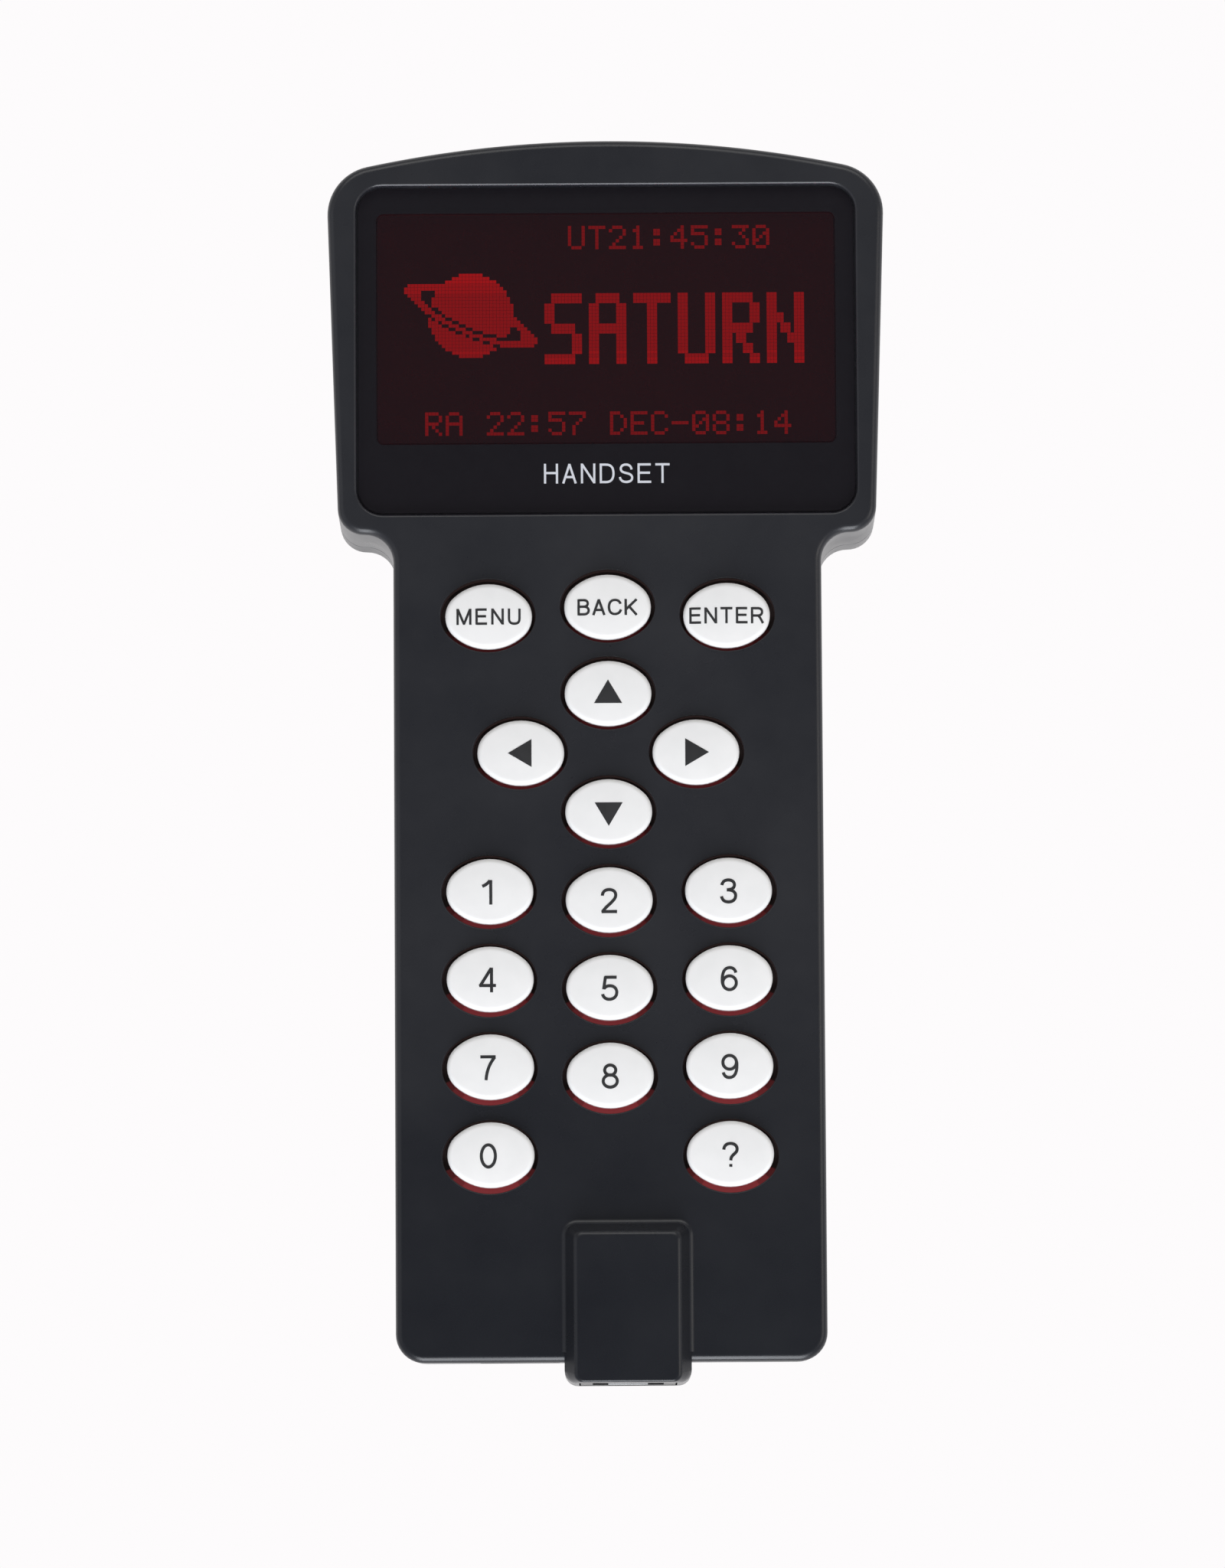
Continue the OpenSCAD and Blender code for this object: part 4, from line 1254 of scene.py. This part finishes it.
GLYPHS = {
    " ": "..... ..... ..... ..... ..... ..... .....",
    ":": "..... .##.. .##.. ..... .##.. .##.. .....",
    "-": "..... ..... ..... ##### ..... ..... .....",
    "0": ".###. #...# #..## #.#.# ##..# #...# .###.",
    "1": "..#.. .##.. ..#.. ..#.. ..#.. ..#.. .###.",
    "2": ".###. #...# ....# ...#. ..#.. .#... #####",
    "3": "##### ...#. ..#.. ...#. ....# #...# .###.",
    "4": "...#. ..##. .#.#. #..#. ##### ...#. ...#.",
    "5": "##### #.... ####. ....# ....# #...# .###.",
    "7": "##### ....# ...#. ..#.. .#... .#... .#...",
    "8": ".###. #...# #...# .###. #...# #...# .###.",
    "A": ".###. #...# #...# ##### #...# #...# #...#",
    "C": ".###. #...# #.... #.... #.... #...# .###.",
    "D": "###.. #..#. #...# #...# #...# #..#. ###..",
    "E": "##### #.... #.... ####. #.... #.... #####",
    "N": "#...# #...# ##..# #.#.# #..## #...# #...#",
    "R": "####. #...# #...# ####. #.#.. #..#. #...#",
    "S": ".#### #.... #.... .###. ....# ....# ####.",
    "T": "##### ..#.. ..#.. ..#.. ..#.. ..#.. ..#..",
    "U": "#...# #...# #...# #...# #...# #...# .###.",
}
DOT_COLUMNS = 128
DOT_ROWS = 64
DOT_PITCH = 0.48


def text_dots(text, column, row, wide=1, tall=1, bold=0):
    """Lit dots of a text in the five by seven font, each dot wide by tall, and bold dots wider."""
    lit = set()
    for place, letter in enumerate(text):
        for line, bits in enumerate(GLYPHS[letter].split()):
            for bit, mark in enumerate(bits):
                if mark == "#":
                    start = column + place * (6 * wide + bold) + bit * wide
                    for i in range(wide + bold):
                        for j in range(tall):
                            lit.add((start + i, row + line * tall + j))
    return lit


def planet_dots(column, row, r=12.5):
    """Lit dots of a ringed planet."""
    lit = set()
    lean = math.radians(-24)
    for c in range(DOT_COLUMNS):
        for w in range(DOT_ROWS):
            x, y = c - column, w - row
            u = x * math.cos(lean) - y * math.sin(lean)
            v = x * math.sin(lean) + y * math.cos(lean)
            reach = math.hypot(u / 21.0, v / 5.6)
            disc = math.hypot(x, y) <= r
            ring = 0.76 <= reach <= 1.0
            gap = 0.62 <= reach < 0.76 or 1.0 < reach <= 1.12
            before = v > 0
            if (disc and not ((ring or gap) and before)) or (ring and (before or not disc)):
                lit.add((c, w))
    return lit


def row_level(count):
    """Brightness step of a row of the picture, from how many of its dots are lit."""
    return 1 + sum(count >= limit for limit in (24, 44))


def dot_box(x, y, half, low, high):
    """Corners of one dot."""
    around = [(-half, -half), (half, -half), (half, half), (-half, half)]
    return [(x + u, y + v, z) for z in (low, high) for u, v in around]


BOX_FACES = [(3, 2, 1, 0), (4, 5, 6, 7), (0, 1, 5, 4), (1, 2, 6, 5), (2, 3, 7, 6), (3, 0, 4, 7)]


def display():
    """Lit dots on the display. Rows where more dots of the picture are lit are dimmer."""
    text = text_dots("UT21:45:30", 53, 1) | text_dots("RA 22:57 DEC-08:14", 11, 56)
    picture = text_dots("SATURN", 46, 21, 2, 3, 1) | planet_dots(24, 27)
    counts = {row: sum(1 for dot in picture if dot[1] == row) for row in range(DOT_ROWS)}
    reds = [0.22, 0.46, 0.38, 0.31]
    points, faces, marks = [], [], []
    left = -DOT_COLUMNS * DOT_PITCH / 2
    top = OPENING_Y + DOT_ROWS * DOT_PITCH / 2
    half = DOT_PITCH / 2 - 0.015
    low, high = PANEL_TOP_Z - 0.01, PANEL_TOP_Z + 0.02
    for column, row in sorted(text | picture):
        x = left + (column + 0.5) * DOT_PITCH
        y = top - (row + 0.5) * DOT_PITCH
        start = len(points)
        points += dot_box(x, y, half, low, high)
        level = 0 if (column, row) in text else row_level(counts[row])
        faces += [tuple(start + i for i in face) for face in BOX_FACES]
        marks += [level] * len(BOX_FACES)
    dots = mesh_object("dots", points, faces)
    finish(dots, "display_dots", lit_dot("display_text", reds[0]), "case")
    for level in (1, 2, 3):
        dots.data.materials.append(lit_dot(f"display_picture_{level}", reds[level]))
    for face, mark in zip(dots.data.polygons, marks):
        face.material_index = mark
        face.use_smooth = False


# ---- Sockets ----


def contact_comb():
    """Light grey comb that spaces the contact wires, on the floor of the cord socket's mouth."""
    floor = MOUNT_LOW.z + 1.2
    x, y = (BUMP_X - 2.75, BUMP_X + 2.75), (MOUNT_LOW.y, MOUNT_LOW.y + 1.9)
    comb = block(x, y, (floor, floor + 0.12))
    bevel_edges(comb, 0.03)
    finish(comb, "mount_contact_comb", MATERIALS["contact_carrier"], "case")


def bevel_edges(obj, width):
    """Rounds every sharp edge of a small block."""
    work = bmesh.new()
    work.from_mesh(obj.data)
    bmesh.ops.bevel(work, geom=work.edges[:], offset=width, segments=2, profile=0.5, affect="EDGES")
    work.to_mesh(obj.data)
    work.free()


# ---- Camera, floor and lights ----


def camera():
    """Camera above the grip's end, as the photograph was taken."""
    data = bpy.data.cameras.new("camera")
    data.sensor_width = 36.0
    data.lens = 239.0
    obj = in_scene("camera", data)
    target = Vector((0.55, -3.8, CASE_DEPTH)) * MM
    distance = 1.45
    elevation = math.radians(83.0)
    back = Vector((0, -math.cos(elevation), math.sin(elevation)))
    obj.location = target + back * distance
    turn = (-back).to_track_quat("-Z", "Y")
    roll = Matrix.Rotation(math.radians(-0.335), 3, "Z")
    obj.rotation_euler = (turn.to_matrix() @ roll).to_euler()
    bpy.context.scene.camera = obj


def area_light(name, place, size, power, colour):
    """Soft box that faces the part, sizes in metres."""
    data = bpy.data.lights.new(name, "AREA")
    data.shape = "RECTANGLE"
    data.size, data.size_y = size
    data.energy = power
    data.color = colour
    obj = in_scene(name, data)
    obj.location = place
    obj.rotation_euler = (Vector((0, 0, 0.02)) - Vector(place)).to_track_quat("-Z", "Y").to_euler()


def studio():
    """Plain white floor and soft light from the near side and both sides."""
    world = bpy.data.worlds.new("studio")
    world.use_nodes = True
    tree = world.node_tree
    tree.nodes["Background"].inputs["Color"].default_value = (0.96, 0.96, 1.0, 1)
    split = tree.nodes.new("ShaderNodeSeparateXYZ")
    height = tree.nodes.new("ShaderNodeMapRange")
    for key, number in (("From Min", 0.1), ("From Max", 0.8), ("To Min", 0.5), ("To Max", 0.17)):
        height.inputs[key].default_value = number
    tree.links.new(tree.nodes.new("ShaderNodeTexCoord").outputs["Generated"], split.inputs["Vector"])
    tree.links.new(split.outputs["Z"], height.inputs["Value"])
    tree.links.new(height.outputs["Result"], tree.nodes["Background"].inputs["Strength"])
    bpy.context.scene.world = world
    floor = mesh_object("floor", [(-4, -4, 0), (4, -4, 0), (4, 4, 0), (-4, 4, 0)], [(0, 1, 2, 3)])
    floor.location.z = -0.0002
    paper = bpy.data.materials.new("floor_paper")
    paper.use_nodes = True
    main = paper.node_tree.nodes["Principled BSDF"]
    main.inputs["Base Color"].default_value = (0, 0, 0, 1)
    main.inputs["Specular IOR Level"].default_value = 0.0
    main.inputs["Emission Color"].default_value = (0.982, 0.965, 0.973, 1)
    main.inputs["Emission Strength"].default_value = 1.0
    floor.data.materials.append(paper)
    area_light("near_light", (0.0, -1.7, 0.9), (1.1, 1.6), 42.5, (0.92, 0.95, 1.0))
    area_light("far_light", (0.0, 1.2, 1.15), (1.6, 0.8), 8.0, (1.0, 0.99, 0.97))
    area_light("left_light", (-1.1, 0.1, 0.95), (1.0, 1.0), 1.2, (0.97, 0.98, 1.0))
    area_light("right_light", (1.1, -0.1, 0.95), (0.8, 0.8), 2.8, (1.0, 0.95, 0.88))
    scene = bpy.context.scene
    scene.view_settings.view_transform = "Standard"
    scene.view_settings.look = "None"


camera()
studio()
paint_cad_nodes()
front_shell()
rear_shell()
keys()
window()
display()
contact_comb()
